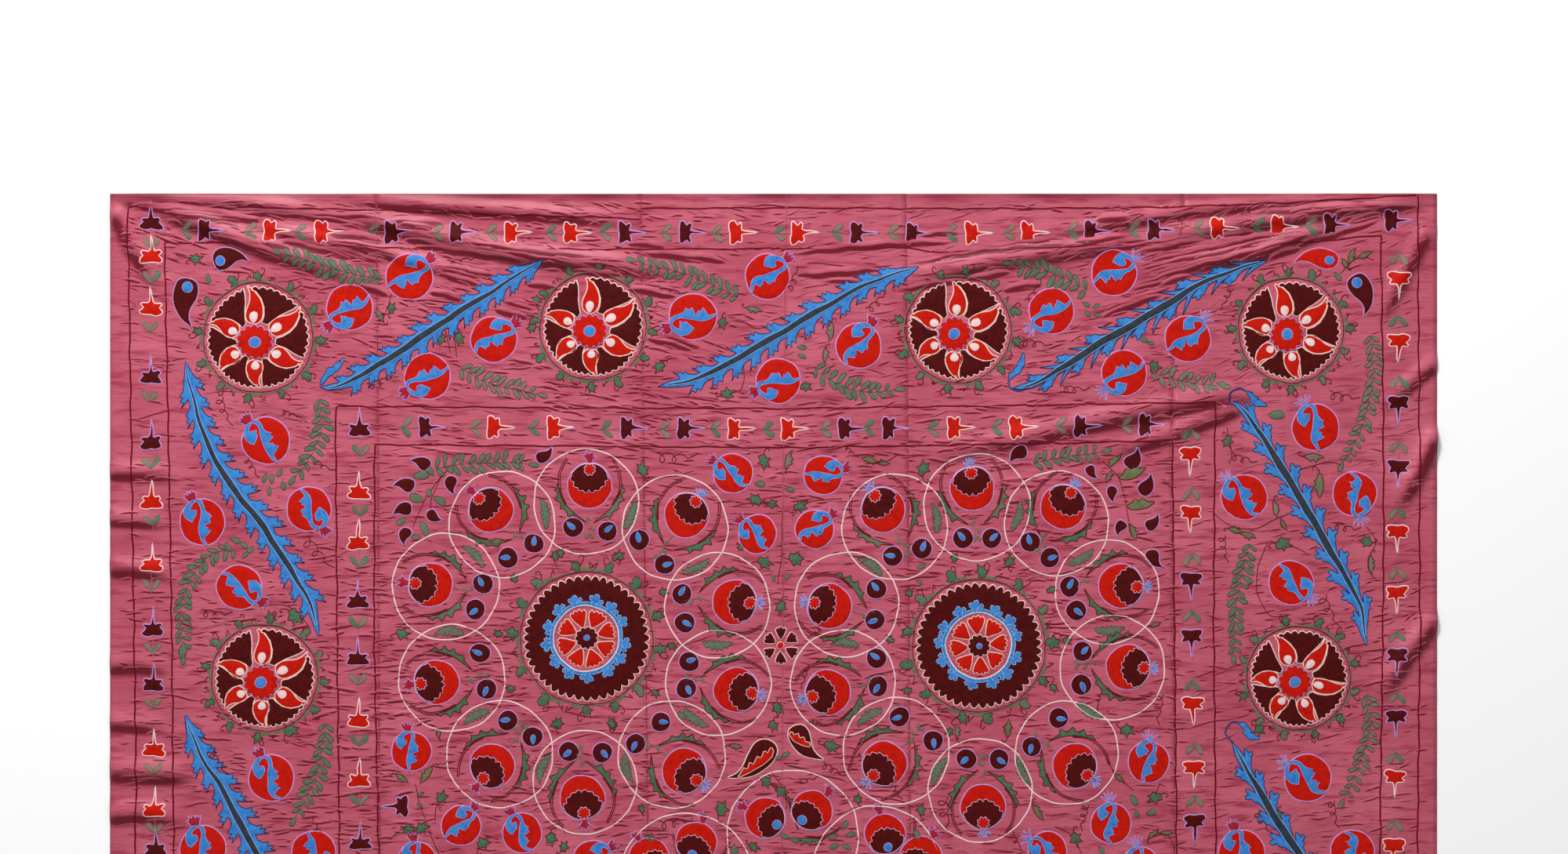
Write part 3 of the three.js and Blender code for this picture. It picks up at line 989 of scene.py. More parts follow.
# Single leaves: x, y, direction of the tip, size and thread
LEAVES = [
    (250, 329, -10, 1.0, "green"), (499, 393, -60, 0.9, "green"), (485, 404, -120, 0.9, "fern"),
    (562, 433, 100, 0.9, "green"), (586, 431, 95, 1.0, "green"), (685, 383, 160, 0.8, "green"),
    (678, 418, 170, 0.8, "green"), (841, 468, 120, 1.0, "green"), (959, 394, 5, 1.0, "fern"),
    (922, 411, 80, 0.9, "green"), (1060, 420, 95, 1.1, "olive"), (1052, 450, 95, 0.9, "olive"),
    (1028, 494, 20, 0.9, "green"), (928, 502, -20, 1.1, "green"), (1473, 466, 20, 1.0, "green"),
    (376, 786, 42, 1.4, "green"), (1567, 563, 80, 1.0, "green"), (1672, 582, 0, 1.2, "olive"),
    (1722, 329, -70, 1.0, "moss"), (1738, 326, -25, 0.9, "moss"), (1716, 337, -120, 0.7, "moss"),
    (1684, 614, 85, 1.5, "moss"), (1626, 646, 80, 1.0, "olive"), (1574, 676, 20, 1.0, "moss"),
    (1590, 682, 12, 1.0, "moss"), (1636, 694, 8, 1.3, "green"), (1742, 690, -170, 1.0, "green"),
    (1748, 716, 88, 1.1, "olive"), (1637, 667, 60, 0.7, "fern"), (820, 598, -90, 1.1, "green"),
    (708, 708, -80, 0.9, "green"), (790, 708, -100, 0.9, "green"), (514, 808, 0, 1.1, "green"),
    (632, 690, -5, 1.0, "moss"), (974, 588, 88, 1.2, "green"), (1005, 590, -80, 1.1, "olive"),
    (963, 638, 190, 1.1, "green"), (984, 643, 15, 0.9, "green"), (1021, 645, -30, 1.1, "green"),
    (945, 698, 60, 0.6, "green"), (975, 717, 8, 1.2, "green"), (1015, 713, 0, 1.3, "green"),
    (996, 774, 100, 1.1, "green"), (1177, 598, -90, 1.2, "green"), (1112, 588, 190, 1.0, "moss"),
    (1124, 590, 10, 0.8, "moss"), (1287, 716, -80, 1.0, "green"), (1472, 797, -20, 0.7, "olive"),
    (712, 922, -70, 0.9, "green"), (780, 922, -110, 0.9, "green"), (560, 936, -90, 0.6, "moss"),
    (546, 986, 120, 1.2, "moss"), (510, 990, 30, 0.9, "moss"), (563, 1017, -60, 1.0, "green"),
    (520, 1058, 200, 1.1, "green"), (538, 1056, -20, 1.1, "green"), (616, 1075, -50, 1.2, "green"),
    (703, 1070, 90, 1.1, "green"), (719, 1080, -60, 0.9, "green"), (819, 1031, -90, 0.7, "green"),
    (828, 1070, 175, 1.1, "green"), (921, 1032, -65, 1.2, "green"), (936, 951, 10, 0.8, "moss"),
    (992, 904, 85, 1.1, "green"), (986, 925, 95, 0.9, "green"), (978, 997, 30, 1.0, "green"),
    (996, 1010, 60, 1.1, "green"), (962, 1080, 20, 0.9, "green"), (1060, 951, 0, 1.2, "green"),
    (1094, 1019, -90, 0.8, "green"), (1175, 1033, -80, 0.9, "green"), (1220, 935, -90, 0.9, "olive"),
    (1286, 933, -80, 1.1, "moss"), (1322, 1033, 60, 1.1, "moss"), (1437, 932, 20, 1.2, "green"),
    (1473, 1017, 150, 1.2, "green"), (1470, 1065, -40, 0.8, "moss"), (1486, 1062, -10, 0.8, "moss"),
    (1372, 1070, 70, 1.1, "green"), (1426, 991, 40, 0.8, "moss"), (300, 1045, -60, 0.9, "green"),
    (372, 930, 30, 1.0, "green"), (1606, 930, 150, 1.0, "green"), (1632, 1040, 80, 0.9, "green"),
    (1690, 1180, 60, 0.9, "green"), (268, 1180, 60, 0.9, "green"),
]

# Blunt grey-green leaves in loose clusters: x, y, direction and length
BLUNT_LEAVES = [
    (265, 355, -110, 14), (1023, 442, 10, 13), (1023, 454, 15, 12), (1386, 388, 20, 11),
    (1398, 390, -30, 11), (1388, 400, 60, 11), (1400, 402, 10, 10), (1459, 433, -160, 11),
    (1467, 437, 10, 10), (338, 610, 100, 14), (347, 611, 80, 13), (344, 627, 95, 12), (357, 603, 120, 13),
    (362, 619, 70, 13), (290, 697, 60, 13), (297, 706, 95, 12), (300, 689, 20, 14), (311, 695, 40, 13),
    (320, 702, 130, 12), (313, 708, -40, 12), (233, 829, 100, 19), (1547, 480, -60, 12), (1559, 490, 5, 14),
    (1545, 494, 40, 12), (1628, 529, 4, 20), (1706, 352, 42, 14), (970, 617, 0, 14), (1007, 624, 5, 12),
    (986, 737, 60, 9), (1005, 735, -50, 9), (1003, 962, 150, 12), (993, 966, 170, 10), (870, 912, -150, 14),
    (1077, 1052, -60, 14), (1063, 1066, 170, 15), (1085, 1064, -20, 13), (1064, 1080, 150, 15),
    (1080, 1079, 20, 14), (1170, 1063, 65, 16), (1001, 1066, -160, 13), (1014, 1070, 10, 13),
    (1447, 1021, 60, 15), (1468, 1036, -20, 14), (1450, 1038, 80, 12), (1404, 1085, 60, 12),
    (937, 1084, 70, 16), (1175, 722, 160, 12), (537, 1012, 150, 9), (536, 1026, 40, 9), (536, 606, -10, 22),
    (549, 600, -140, 14), (532, 636, 200, 19), (561, 638, 30, 18), (512, 664, 150, 15), (541, 673, 60, 21),
    (530, 684, 170, 13), (548, 628, 80, 12), (1172, 742, 30, 10),
]

# Brown stems
STEMS = [
    [(1710, 348), (1722, 334), (1736, 328), (1752, 332)], [(225, 325), (238, 328), (250, 329)],
    [(500, 375), (492, 396), (482, 412)], [(567, 420), (575, 450)], [(592, 405), (580, 420), (583, 455)],
    [(905, 500), (925, 503), (945, 498)], [(947, 457), (950, 480), (945, 499)],
    [(1030, 335), (1049, 336), (1075, 340)], [(330, 773), (365, 772), (392, 797)],
    [(1565, 545), (1571, 575), (1567, 590)], [(1658, 598), (1690, 590), (1712, 593)],
    [(1550, 655), (1568, 670), (1600, 675), (1625, 662), (1645, 655)],
    [(1618, 690), (1605, 720), (1603, 750), (1612, 775), (1622, 786), (1645, 783)],
    [(1743, 672), (1754, 690), (1746, 712), (1748, 730), (1756, 738)],
    [(1620, 690), (1655, 699), (1668, 706)], [(572, 598), (549, 626), (526, 672)],
    [(566, 603), (552, 632), (549, 650)], [(935, 645), (960, 642), (990, 643)],
    [(1015, 652), (1034, 640), (1074, 636)], [(1003, 605), (1006, 588), (1013, 574)],
    [(1104, 592), (1130, 588), (1148, 578)], [(1000, 755), (996, 772), (992, 786)],
    [(1406, 588), (1426, 608), (1437, 645), (1443, 684)], [(530, 1000), (540, 1040), (560, 1088)],
    [(555, 1045), (556, 1028), (566, 1008)], [(497, 1070), (518, 1055), (552, 1062)],
    [(700, 1056), (712, 1050), (720, 1062)], [(812, 1080), (828, 1070), (852, 1068)],
    [(985, 985), (998, 1005), (1004, 1032)], [(1465, 1070), (1488, 1064), (1498, 1082)],
    [(1345, 1054), (1368, 1066), (1380, 1088)], [(1410, 962), (1425, 990), (1446, 1008)],
    [(1480, 998), (1474, 1014)], [(998, 650), (997, 700), (992, 745)],
]

# Slim leaves on the stem in the field's upper right corner: x and y of the root, direction and size
CORNER_LEAVES = [
    (1427, 609, -14, 1.8), (1438, 645, -2, 1.75), (1414, 594, -38, 1.1), (1418, 600, 118, 0.8),
    (1441, 668, 74, 1.1),
]


def lone_leaf(x, y, degrees, size, thread):
    """An ivy leaf with a short hooked stem. x and y are the middle of it."""
    root = polar((x, y), 7.0 * size, degrees + 180)
    leaf = ivy_leaf if thread == "green" else slim_leaf
    leaf(root, degrees, size, rng.random() < 0.5, thread)
    hook(root, degrees + 180, 7.0 * size, rng.random() < 0.5)


BLUNT_LEAF = [(-0.5, 0), (-0.2, 0.2), (0.2, 0.26), (0.5, 0.06), (0.24, -0.24), (-0.2, -0.2)]


def blunt_leaf(x, y, degrees, length):
    shape = np.array(BLUNT_LEAF) + rng.uniform(-0.04, 0.04, (6, 2))
    patch("fern", "dark_green", spline(placed(shape, (x, y), degrees, length), True, 2), 0.8)


def tulip_row(row, line, degrees):
    """Tulips along a border strip, each with a two-leaved sprig behind it."""
    across, down = np.array(line, float).T
    for word in row.split():
        place = float(word[:-1])
        if degrees:
            x, y = float(np.interp(place, down, across)), place
        else:
            x, y = place, float(np.interp(place, across, down))
        tulip(x, y, degrees, word[-1] == "R")
        sprig(x, y, degrees + rng.uniform(-3, 3), rng.uniform(0.9, 1.04))


def draw_tulip_rows():
    top_row, *other_rows = TULIP_ROWS
    tulip_row(*top_row)
    tulip(*CORNER_TULIP)
    for row in other_rows:
        tulip_row(*row)


LENS_WAY = [(-19, 1.5), (-9, -1), (0, -1.5), (9, -0.5), (19, 2)]


def lens_spray(first, second):
    """A grey-green leaf where two neighbouring rings overlap."""
    a, b = np.array(first[:2]), np.array(second[:2])
    apart = np.hypot(*(b - a))
    share = (apart + first[2] - second[2]) / (2 * apart)
    spot = a + (b - a) * share
    path = spline(placed(LENS_WAY, spot, direction(a, b) + 90), per=7)
    t = np.linspace(0, 1, len(path))
    teeth = 0.35 + 0.65 * np.abs(np.sin(t * 6 * math.pi + rng.uniform(0, 2)))
    swell = 6.4 * np.sin(math.pi * t) ** 0.7 * teeth + 0.4
    patch("fern", "dark_green", ribbon(path, swell, np.roll(swell, 2)), 0.8)


RING_FRUIT_RADIUS = 28.5
# The stem from a ring's fruit inwards: distance from the fruit's middle and degrees off the way inwards
FRUIT_STEM = [(30.0, 0), (46.0, 3), (64.0, 0)]
# The small leaves on it: distance and lean
STEM_DROPS = [(42.0, 50.0), (52.0, -50.0), (62.0, 45.0), (62.0, -45.0)]
# The share of the way from the medallion to the ring's middle at which an ivy leaf stands
IVY_SHARE = 0.62


def ring_of_fruit(medal, rings):
    """White rings about a medallion: a capped fruit and two vines in each, and leaves where they meet."""
    medal = np.array(medal)
    for x, y, radius, fruit_x, fruit_y, crown in rings:
        sew_line("white", circle((x, y), radius), 2.0, True)
        fruit = np.array([fruit_x, fruit_y])
        crown_thread = "wine" if fruit_x < RED_CROWNS_TO else "navy"
        capped_pomegranate(fruit_x, fruit_y, RING_FRUIT_RADIUS, crown, crown_thread)
        inward = crown + 180
        vine_arc(fruit, inward, 1)
        vine_arc(fruit, inward, -1)
        stem = [polar(fruit, away, inward + turn) for away, turn in FRUIT_STEM]
        sew_line("olive", spline(stem, per=4), 1.0)
        for away, lean in STEM_DROPS:
            drop("olive", "olive", polar(fruit, away, inward), inward + lean, 8.0, 4.0, 0)
        outer = medal + (np.array([x, y]) - medal) * IVY_SHARE
        turn = direction(medal, (x, y))
        ivy_leaf(polar(medal, np.hypot(*(outer - medal)) - 2, turn + 18), turn + 60, 0.75)
    for k, ring in enumerate(rings):
        lens_spray(ring, rings[(k + 1) % len(rings)])


def drop_aim(x, y):
    """Where the drop in a seed disc points: outwards and away from the middle of the ring that it is in."""
    _, ring, medal = min(
        (math.hypot(x - ring[0], y - ring[1]), ring[:2], medal)
        for medal, rings in ((LEFT_MEDALLION, LEFT_RINGS), (RIGHT_MEDALLION, RIGHT_RINGS))
        for ring in rings
    )
    inward = direction(ring, medal)
    beside = (direction(ring, (x, y)) - inward + 180) % 360 - 180
    return inward + 130 * math.copysign(1, beside)


CENTRAL_FRUIT_RADIUS = 26.0
# Two-tone paisleys: x, y, direction of the tip, length, width, flipped or not, outline of the red half
TWO_TONE_PAISLEYS = [
    (963, 970, 133, 72, 16, True, TWO_TONE_LEFT),
    (1026, 948, 57, 58, 13, False, TWO_TONE_RIGHT),
]
# The lone tulip at the field's left: x, y, direction, and whether it is red
FIELD_TULIP = (512, 1028, 180, False)
# The small flower between the medallions: its middle and one petal
FLOWER_AT = (996, 823)
FLOWER_PETALS = 6
FLOWER_PETAL = [
    (7, 0), (12, -4), (19.5, -7.5), (22.5, -5), (21, -3), (24.5, -1.4), (22.4, 0), (24.5, 1.4), (21, 3),
    (22.5, 5), (19.5, 7.5), (12, 4),
]


def draw_field():
    ring_of_fruit(LEFT_MEDALLION, LEFT_RINGS)
    ring_of_fruit(RIGHT_MEDALLION, RIGHT_RINGS)
    medallion(*LEFT_MEDALLION, 4)
    medallion(*RIGHT_MEDALLION, 17)
    for x, y, radius, crown in UNSEEN_FRUIT:
        capped_pomegranate(x, y, radius, crown, "wine")
        vine_arc(np.array([x, y]), crown + 180, 1, 80.0, 0.9)
    for x, y, degrees in UNSEEN_LEAVES:
        lone_leaf(x, y, degrees, 1.1, "green")
    for x, y in SEED_DISCS:
        seed_disc(x, y, drop_aim(x, y))
    for x, y, degrees, size in DARK_TEARS:
        paisley(x, y, degrees, 24 * size, 7.4 * size, "maroon", "lavender")
    for x, y, radius, fruit_x, fruit_y, crown in CENTRAL_RINGS:
        if radius:
            sew_line("white", circle((x, y), radius), 2.0, True)
        capped_pomegranate(fruit_x, fruit_y, CENTRAL_FRUIT_RADIUS, crown, "wine", True)
        vine_arc(np.array([fruit_x, fruit_y]), crown + 180, -1, 62.0, 0.93)
    for x, y, degrees, length, width, flip, red_half in TWO_TONE_PAISLEYS:
        paisley(x, y, degrees, length, width, "maroon", "cream", None, flip)
        patch("red", "cream", red_half, 1.4, 1)
    for k in range(FLOWER_PETALS):
        patch("maroon", "cream", placed(FLOWER_PETAL, FLOWER_AT, 30 + 60 * k), 1.5)
    patch("red", "cream", circle(FLOWER_AT, 4.6, 2.2), 1.2)
    tulip(*FIELD_TULIP)


# Paisleys in the border's corners: x, y, direction of the tip, length, width, threads, and flipped or not
CORNER_PAISLEYS = [
    (292, 330, -13, 46, 13.5, "maroon", "lavender", "blue", True),
    (237, 383, 96, 62, 15.5, "maroon", "lavender", "blue", False),
    (1681, 330, -174, 56, 12.5, "red", "lavender", "blue", False),
    (1737, 373, 66, 54, 14, "maroon", "lavender", "blue", True),
]


def draw_borders():
    for x, y, ring, turn in ROSETTES:
        rosette(x, y, ring, turn)
    for points, half, lobes, rib_half, barbs in SAZ_LEAVES:
        saz_leaf(points, half, lobes, rib_half, barbs)
    for points, bare in LEAF_CURLS:
        leaf_curl(points, bare)
    for points, leaflet, thread in FERNS:
        fern(points, leaflet, thread)
    for x, y, radius, crown in SCROLL_FRUIT:
        pomegranate(x, y, radius, crown)
    for corner_paisley in CORNER_PAISLEYS:
        paisley(*corner_paisley)
    for x, y, degrees, size in TENDRILS:
        tendril(x, y, degrees, size)
    for points in STEMS:
        sew_line("brown", spline(points, per=4), 1.1)
    for x, y, degrees, size, thread in LEAVES:
        lone_leaf(x, y, degrees, size, thread)
    for x, y, degrees, size in CORNER_LEAVES:
        slim_leaf((x, y), degrees, size)
    for x, y, degrees, length in BLUNT_LEAVES:
        blunt_leaf(x, y, degrees, length)


def draw_design():
    for points in GUARD_LINES:
        sew_line("crimson", spaced(points, 5.0), 2.4)
    draw_tulip_rows()
    draw_borders()
    draw_field()
    mirror_upper_half()
    for x, y, ring, turn in MIDDLE_ROSETTES:
        rosette(x, y, ring, turn)
    medallion(*CENTRAL_MEDALLION, 10)


# The height of the cloth's face, on an even grid of the frame's x and y.

GRID = 2.5 * MILLIMETRE
GRID_X = np.arange(-HALF_WIDTH, HALF_WIDTH + GRID, GRID)
GRID_Y = np.arange(-HALF_LENGTH, HALF_LENGTH + GRID, GRID)


def smooth_step(amount):
    t = np.clip(amount, 0.0, 1.0)
    return t * t * (3 - 2 * t)


def nearest_on_stretch(x, y, start, end):
    along_x, along_y = end[0] - start[0], end[1] - start[1]
    t = ((x - start[0]) * along_x + (y - start[1]) * along_y) / (along_x**2 + along_y**2)
    t = np.clip(t, 0.0, 1.0)
    return t, np.hypot(x - start[0] - t * along_x, y - start[1] - t * along_y)


def fold_way(points, x, y, lower=0.0):
    """How far x and y are from a fold's crest, moved down by lower, and its share of its full height."""
    start, middle, end = (np.array(p) * MILLIMETRE - (0.0, lower) for p in points)
    first_t, first = nearest_on_stretch(x, y, start, middle)
    second_t, second = nearest_on_stretch(x, y, middle, end)
    along = np.where(first <= second, first_t / 2, 0.5 + second_t / 2)
    ends = smooth_step(along / FOLD_RISE) * smooth_step((1 - along) / FOLD_FALL)
    return np.minimum(first, second), ends


def fold_lift(x, y):
    """How far the drag folds lift the cloth at x and y, in metres. The part's solids follow the same rule."""
    lift = np.zeros(np.broadcast(x, y).shape)
    for *points, reach, height in FOLDS:
        away, ends = fold_way(points, x, y)
        crest = np.cos(math.pi / 2 * np.minimum(away / (reach * MILLIMETRE), 1.0)) ** 2
        lift = np.maximum(lift, height * MILLIMETRE * ends * crest)
    return lift


def seam_at(stations, y):
    return np.interp(np.abs(y), SEAM_STATIONS, stations)


def inside(x, y, outline):
    """Which of these points are inside a closed outline."""
    found = np.zeros(x.shape, bool)
    px, py = outline[:, 0], outline[:, 1]
    qx, qy = np.roll(px, -1), np.roll(py, -1)
    for ax, ay, bx, by in zip(px, py, qx, qy, strict=True):
        if ay == by:
            continue
        crosses = (ay > y) != (by > y)
        found ^= crosses & (x < (bx - ax) * (y - ay) / (by - ay) + ax)
    return found


def window(points, margin):
    """The rows and columns of the grid that hold these points, in metres."""
    low, high = points.min(0) - margin, points.max(0) + margin
    columns = slice(max(int((low[0] + HALF_WIDTH) / GRID), 0), max(int((high[0] + HALF_WIDTH) / GRID) + 2, 0))
    rows = slice(max(int((low[1] + HALF_LENGTH) / GRID), 0), max(int((high[1] + HALF_LENGTH) / GRID) + 2, 0))
    return rows, columns


def softened(grid, times):
    """The grid, blurred by its neighbours."""
    for _ in range(times):
        padded = np.pad(grid, 1, mode="edge")
        grid = (padded[:-2, 1:-1] + padded[2:, 1:-1] + padded[1:-1, :-2] + padded[1:-1, 2:] + 2 * grid) / 6
    return grid


def stitched_share():
    """How closely each place of the cloth is stitched, from 0 to 1."""
    grid = np.zeros((len(GRID_Y), len(GRID_X)))
    for area in AREAS:
        outline = to_metres(hand_drawn(area["outline"]))
        rows, columns = window(outline, 0.0)
        x, y = np.meshgrid(GRID_X[columns], GRID_Y[rows])
        held = inside(x, y, outline)
        if area["hole"] is not None:
            held &= ~inside(x, y, to_metres(hand_drawn(area["hole"])))
        grid[rows, columns] = np.maximum(grid[rows, columns], held)
    return grid


def smooth_noise(cells_x, cells_y):
    """Soft random hills between -1 and 1, with this many cells across and along the cloth."""
    coarse = rng.uniform(-1, 1, (cells_y + 2, cells_x + 2))
    x = np.linspace(0, cells_x, len(GRID_X))
    y = np.linspace(0, cells_y, len(GRID_Y))
    column, row = np.minimum(x.astype(int), cells_x), np.minimum(y.astype(int), cells_y)
    u = smooth_step(x - column)[None, :]
    v = smooth_step(y - row)[:, None]
    a, b = coarse[np.ix_(row, column)], coarse[np.ix_(row, column + 1)]
    c, d = coarse[np.ix_(row + 1, column)], coarse[np.ix_(row + 1, column + 1)]
    return (a * (1 - u) + b * u) * (1 - v) + (c * (1 - u) + d * u) * v


# The painted shade at the foot of a fold, as shares of its reach: how far below its crest, and how wide
SHADE_DROP = 0.62
SHADE_WIDTH = 0.36


def fold_shade(x, y):
    """How much shade is painted along the foot of each drag fold's lower side."""
    shade = np.zeros(np.broadcast(x, y).shape)
    for *points, reach, _ in FOLDS:
        reach *= MILLIMETRE
        away, ends = fold_way(points, x, y, SHADE_DROP * reach)
        shade = np.maximum(shade, ends * np.exp(-((away / (SHADE_WIDTH * reach)) ** 2)))
    return shade


# The silk's low swells: height, and how many across and along the cloth
SWELLS = [(1.3 * MILLIMETRE, 26, 90), (0.6 * MILLIMETRE, 60, 230)]
DEEPEST_HOLLOW = -0.7 * MILLIMETRE
CALM_BY_STITCHES = 0.6
CALM_BY_HEM = 0.8
HEM_BAND = 7 * MILLIMETRE
HEM_SHADE_BAND = 11 * MILLIMETRE


def make_relief():
    """The height of the silk's face above the surface, and how much shade is painted into its colour at each
    place, along the top hem and at the feet of the drag folds.
    """
    stitched = stitched_share()
    near = softened(stitched, 3)
    swell = sum(height * smooth_noise(cells_x, cells_y) for height, cells_x, cells_y in SWELLS)
    across, along = GRID_X[None, :], GRID_Y[:, None]
    edge_away = np.minimum(HALF_WIDTH - np.abs(across), HALF_LENGTH - np.abs(along))
    hem = np.exp(-((edge_away / HEM_BAND) ** 2))
    # Shade painted along the top hem, darkest at the edge
    hem_shade = np.exp(-(((HALF_LENGTH - along) / HEM_SHADE_BAND) ** 2)) * (0.55 + 0.25 * smooth_noise(30, 4))
    painted_shade = np.maximum(np.clip(hem_shade, 0, 1), fold_shade(across, along) * (1 - near))
    swell = np.maximum(swell * (1 - CALM_BY_STITCHES * near), DEEPEST_HOLLOW) * (1 - CALM_BY_HEM * hem)
    return CLOTH_THICKNESS + fold_lift(across, along) + swell, painted_shade, stitched


def sample(grid, x, y):
    """The grid's value at x and y, in metres."""
    column = np.clip((np.asarray(x) + HALF_WIDTH) / GRID, 0, len(GRID_X) - 1.001)
    row = np.clip((np.asarray(y) + HALF_LENGTH) / GRID, 0, len(GRID_Y) - 1.001)
    i, j = column.astype(int), row.astype(int)
    u, v = column - i, row - j
    low = grid[j, i] * (1 - u) + grid[j, i + 1] * u
    high = grid[j + 1, i] * (1 - u) + grid[j + 1, i + 1] * u
    return low * (1 - v) + high * v


# Meshes.


def new_piece(name, vertices, triangles, material, slot):
    """A shown piece of the cloth, from arrays of points and triangles."""
    mesh = bpy.data.meshes.new(name)
    mesh.vertices.add(len(vertices))
    mesh.vertices.foreach_set("co", np.asarray(vertices, np.float32).ravel())
    mesh.loops.add(3 * len(triangles))
    mesh.loops.foreach_set("vertex_index", np.asarray(triangles, np.int32).ravel())
    mesh.polygons.add(len(triangles))
    mesh.polygons.foreach_set("loop_start", np.arange(0, 3 * len(triangles), 3, dtype=np.int32))
    mesh.polygons.foreach_set("use_smooth", np.ones(len(triangles), bool))
    mesh.update(calc_edges=True)
    mesh.validate()
    mesh.materials.append(material)
    piece = bpy.data.objects.new(name, mesh)
    bpy.context.scene.collection.objects.link(piece)
    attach(piece, "root")
    return piece


ROW_STEP = 3.0 * MILLIMETRE
HIDDEN_ROW_STEP = 11.0 * MILLIMETRE
FINE_FROM = 0.2
COLUMN_STEP = 9.0 * MILLIMETRE
HEM_DEPTH = 9.0 * MILLIMETRE
HEM_CLEAR = 0.3 * MILLIMETRE


def ground_rows():
    fine = np.arange(HALF_LENGTH, FINE_FROM, -ROW_STEP)
    plain = np.linspace(FINE_FROM, -HALF_LENGTH, int((FINE_FROM + HALF_LENGTH) / HIDDEN_ROW_STEP) + 1)
    return np.concatenate([fine, plain])


def grid_triangles(rows, columns):
    index = np.arange(rows * columns).reshape(rows, columns)
    a, b = index[:-1, :-1].ravel(), index[:-1, 1:].ravel()
    c, d = index[1:, :-1].ravel(), index[1:, 1:].ravel()
    return np.concatenate([np.stack([a, c, d], 1), np.stack([a, d, b], 1)])


def mark_shade(piece, shade):
    """Paints shade into the silk's colour: how much of the crease shade each point gets."""
    painted_shade = piece.data.attributes.new("painted_shade", "FLOAT", "POINT")
    painted_shade.data.foreach_set("value", np.asarray(shade, np.float32))


# How near to a width's side edge a point of its rim counts as on it
SIDE_BAND = 20 * MILLIMETRE


def ground_panel(number, relief, painted_shade, material):
    """One loom width of silk, with its edges turned down and under."""
    y = ground_rows()
    left = np.full(len(y), -HALF_WIDTH) if number == 0 else seam_at(SEAMS[number - 1], y)
    right = np.full(len(y), HALF_WIDTH) if number == len(SEAMS) else seam_at(SEAMS[number], y)
    columns = int((right - left).max() / COLUMN_STEP) + 1
    share = np.linspace(0, 1, columns)
    x = left[:, None] + (right - left)[:, None] * share[None, :]
    yy = np.repeat(y[:, None], columns, 1)
    vertices = np.stack([x, yy, sample(relief, x, yy)], -1).reshape(-1, 3)
    triangles = [grid_triangles(len(y), columns)]
    index = np.arange(len(y) * columns).reshape(len(y), columns)
    loop = np.concatenate([index[0, :-1], index[:-1, -1], index[-1, :0:-1], index[:0:-1, 0]])
    rim = vertices[loop]
    inward = rim[:, :2].copy()
    middle = (left.mean() + right.mean()) / 2
    at_side = np.abs(rim[:, 0] - middle) > (right - left).min() / 2 - SIDE_BAND
    inward[:, 0] += at_side * np.sign(middle - rim[:, 0]) * HEM_DEPTH
    inward[:, 1] = np.clip(inward[:, 1], -HALF_LENGTH + HEM_DEPTH, HALF_LENGTH - HEM_DEPTH)
    level = fold_lift(rim[:, 0], rim[:, 1]) + HEM_CLEAR
    down, under = np.column_stack([rim[:, :2], level]), np.column_stack([inward, level])
    count, start = len(loop), len(vertices)
    vertices = np.vstack([vertices, down, under])
    here, ahead = np.arange(count), (np.arange(count) + 1) % count
    low = start + here
    for one, other in ((loop, low), (low, low + count)):
        triangles.append(np.stack([one[here], one[ahead], other[ahead]], 1))
        triangles.append(np.stack([one[here], other[ahead], other[here]], 1))
    name = f"silk_width_{number + 1}"
    piece = new_piece(name, vertices, np.concatenate(triangles), material, "ground_silk")
    mark_shade(piece, sample(painted_shade, vertices[:, 0], vertices[:, 1]))
    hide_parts(f"panel_{number + 1}")


# A tuck's section, in millimetres for a tuck of size 1: its place across, its rise, and how much shade is
# painted there.
TUCK_SECTION = [(-2.6, -0.1, 0.0), (-1.2, 0.05, 1.0), (0.4, 0.2, 0.95), (2.2, 0.95, 0.1), (5.0, -0.1, 0.0)]
FOLD_SECTION = [(-6.5, -0.1, 0.0), (-2.8, 0.25, 1.0), (1.6, 0.7, 0.85), (4.8, 1.4, 0.0), (10.0, -0.1, 0.0)]
SEAM_SECTION = [(-1.9, -0.1, 0.0), (0.0, 0.25, 0.8), (1.9, -0.1, 0.0)]
PRESS_SECTION = [(-3.4, -0.1, 0.0), (0.0, 0.6, 0.3), (3.4, -0.1, 0.0)]
TUCK_STEP = 8.5 * MILLIMETRE
EDGE_MARGIN = 12 * MILLIMETRE


def tuck_mesh(path, size, section, relief):
    """A small pinched ridge of silk along a path in metres, with the shade painted on each of its points.
    Size is its scale at each point.
    """
    side = sideways(path)
    rows, shade = [], []
    for away, rise, dark in section:
        at = path + side * (away * MILLIMETRE * np.sqrt(size))[:, None]
        lift = rise * MILLIMETRE * (size if rise > 0 else 1)
        rows.append(np.column_stack([at, sample(relief, at[:, 0], at[:, 1]) + lift]))
        # Painted shade, strongest in the hollow below the ridge
        shade.append(dark * np.clip(1.7 * size, 0, 1))
    across = grid_triangles(len(section), len(path))
    return np.vstack(rows), across[:, ::-1], np.concatenate(shade)


# Silk counts as bare where less than this share of it is stitched
BARE_BELOW = 0.3


def longest_bare_run(path, stitched):
    """The longest stretch of a path that runs over bare silk."""
    bare = sample(stitched, path[:, 0], path[:, 1]) < BARE_BELOW
    best, start = (0, 0), None
    for k, free in enumerate([*bare, False]):
        if free and start is None:
            start = k
        if not free and start is not None:
            best = max(best, (k - start, start))
            start = None
    return path[best[1] : best[1] + best[0]]


def near_edge(path):
    return bool((np.abs(path) > (HALF_WIDTH - EDGE_MARGIN, HALF_LENGTH - EDGE_MARGIN)).any())


TUCK_BEND = 0.12
WAVE_HEIGHT = 0.9 * MILLIMETRE
WAVE_LENGTH = 9 * MILLIMETRE


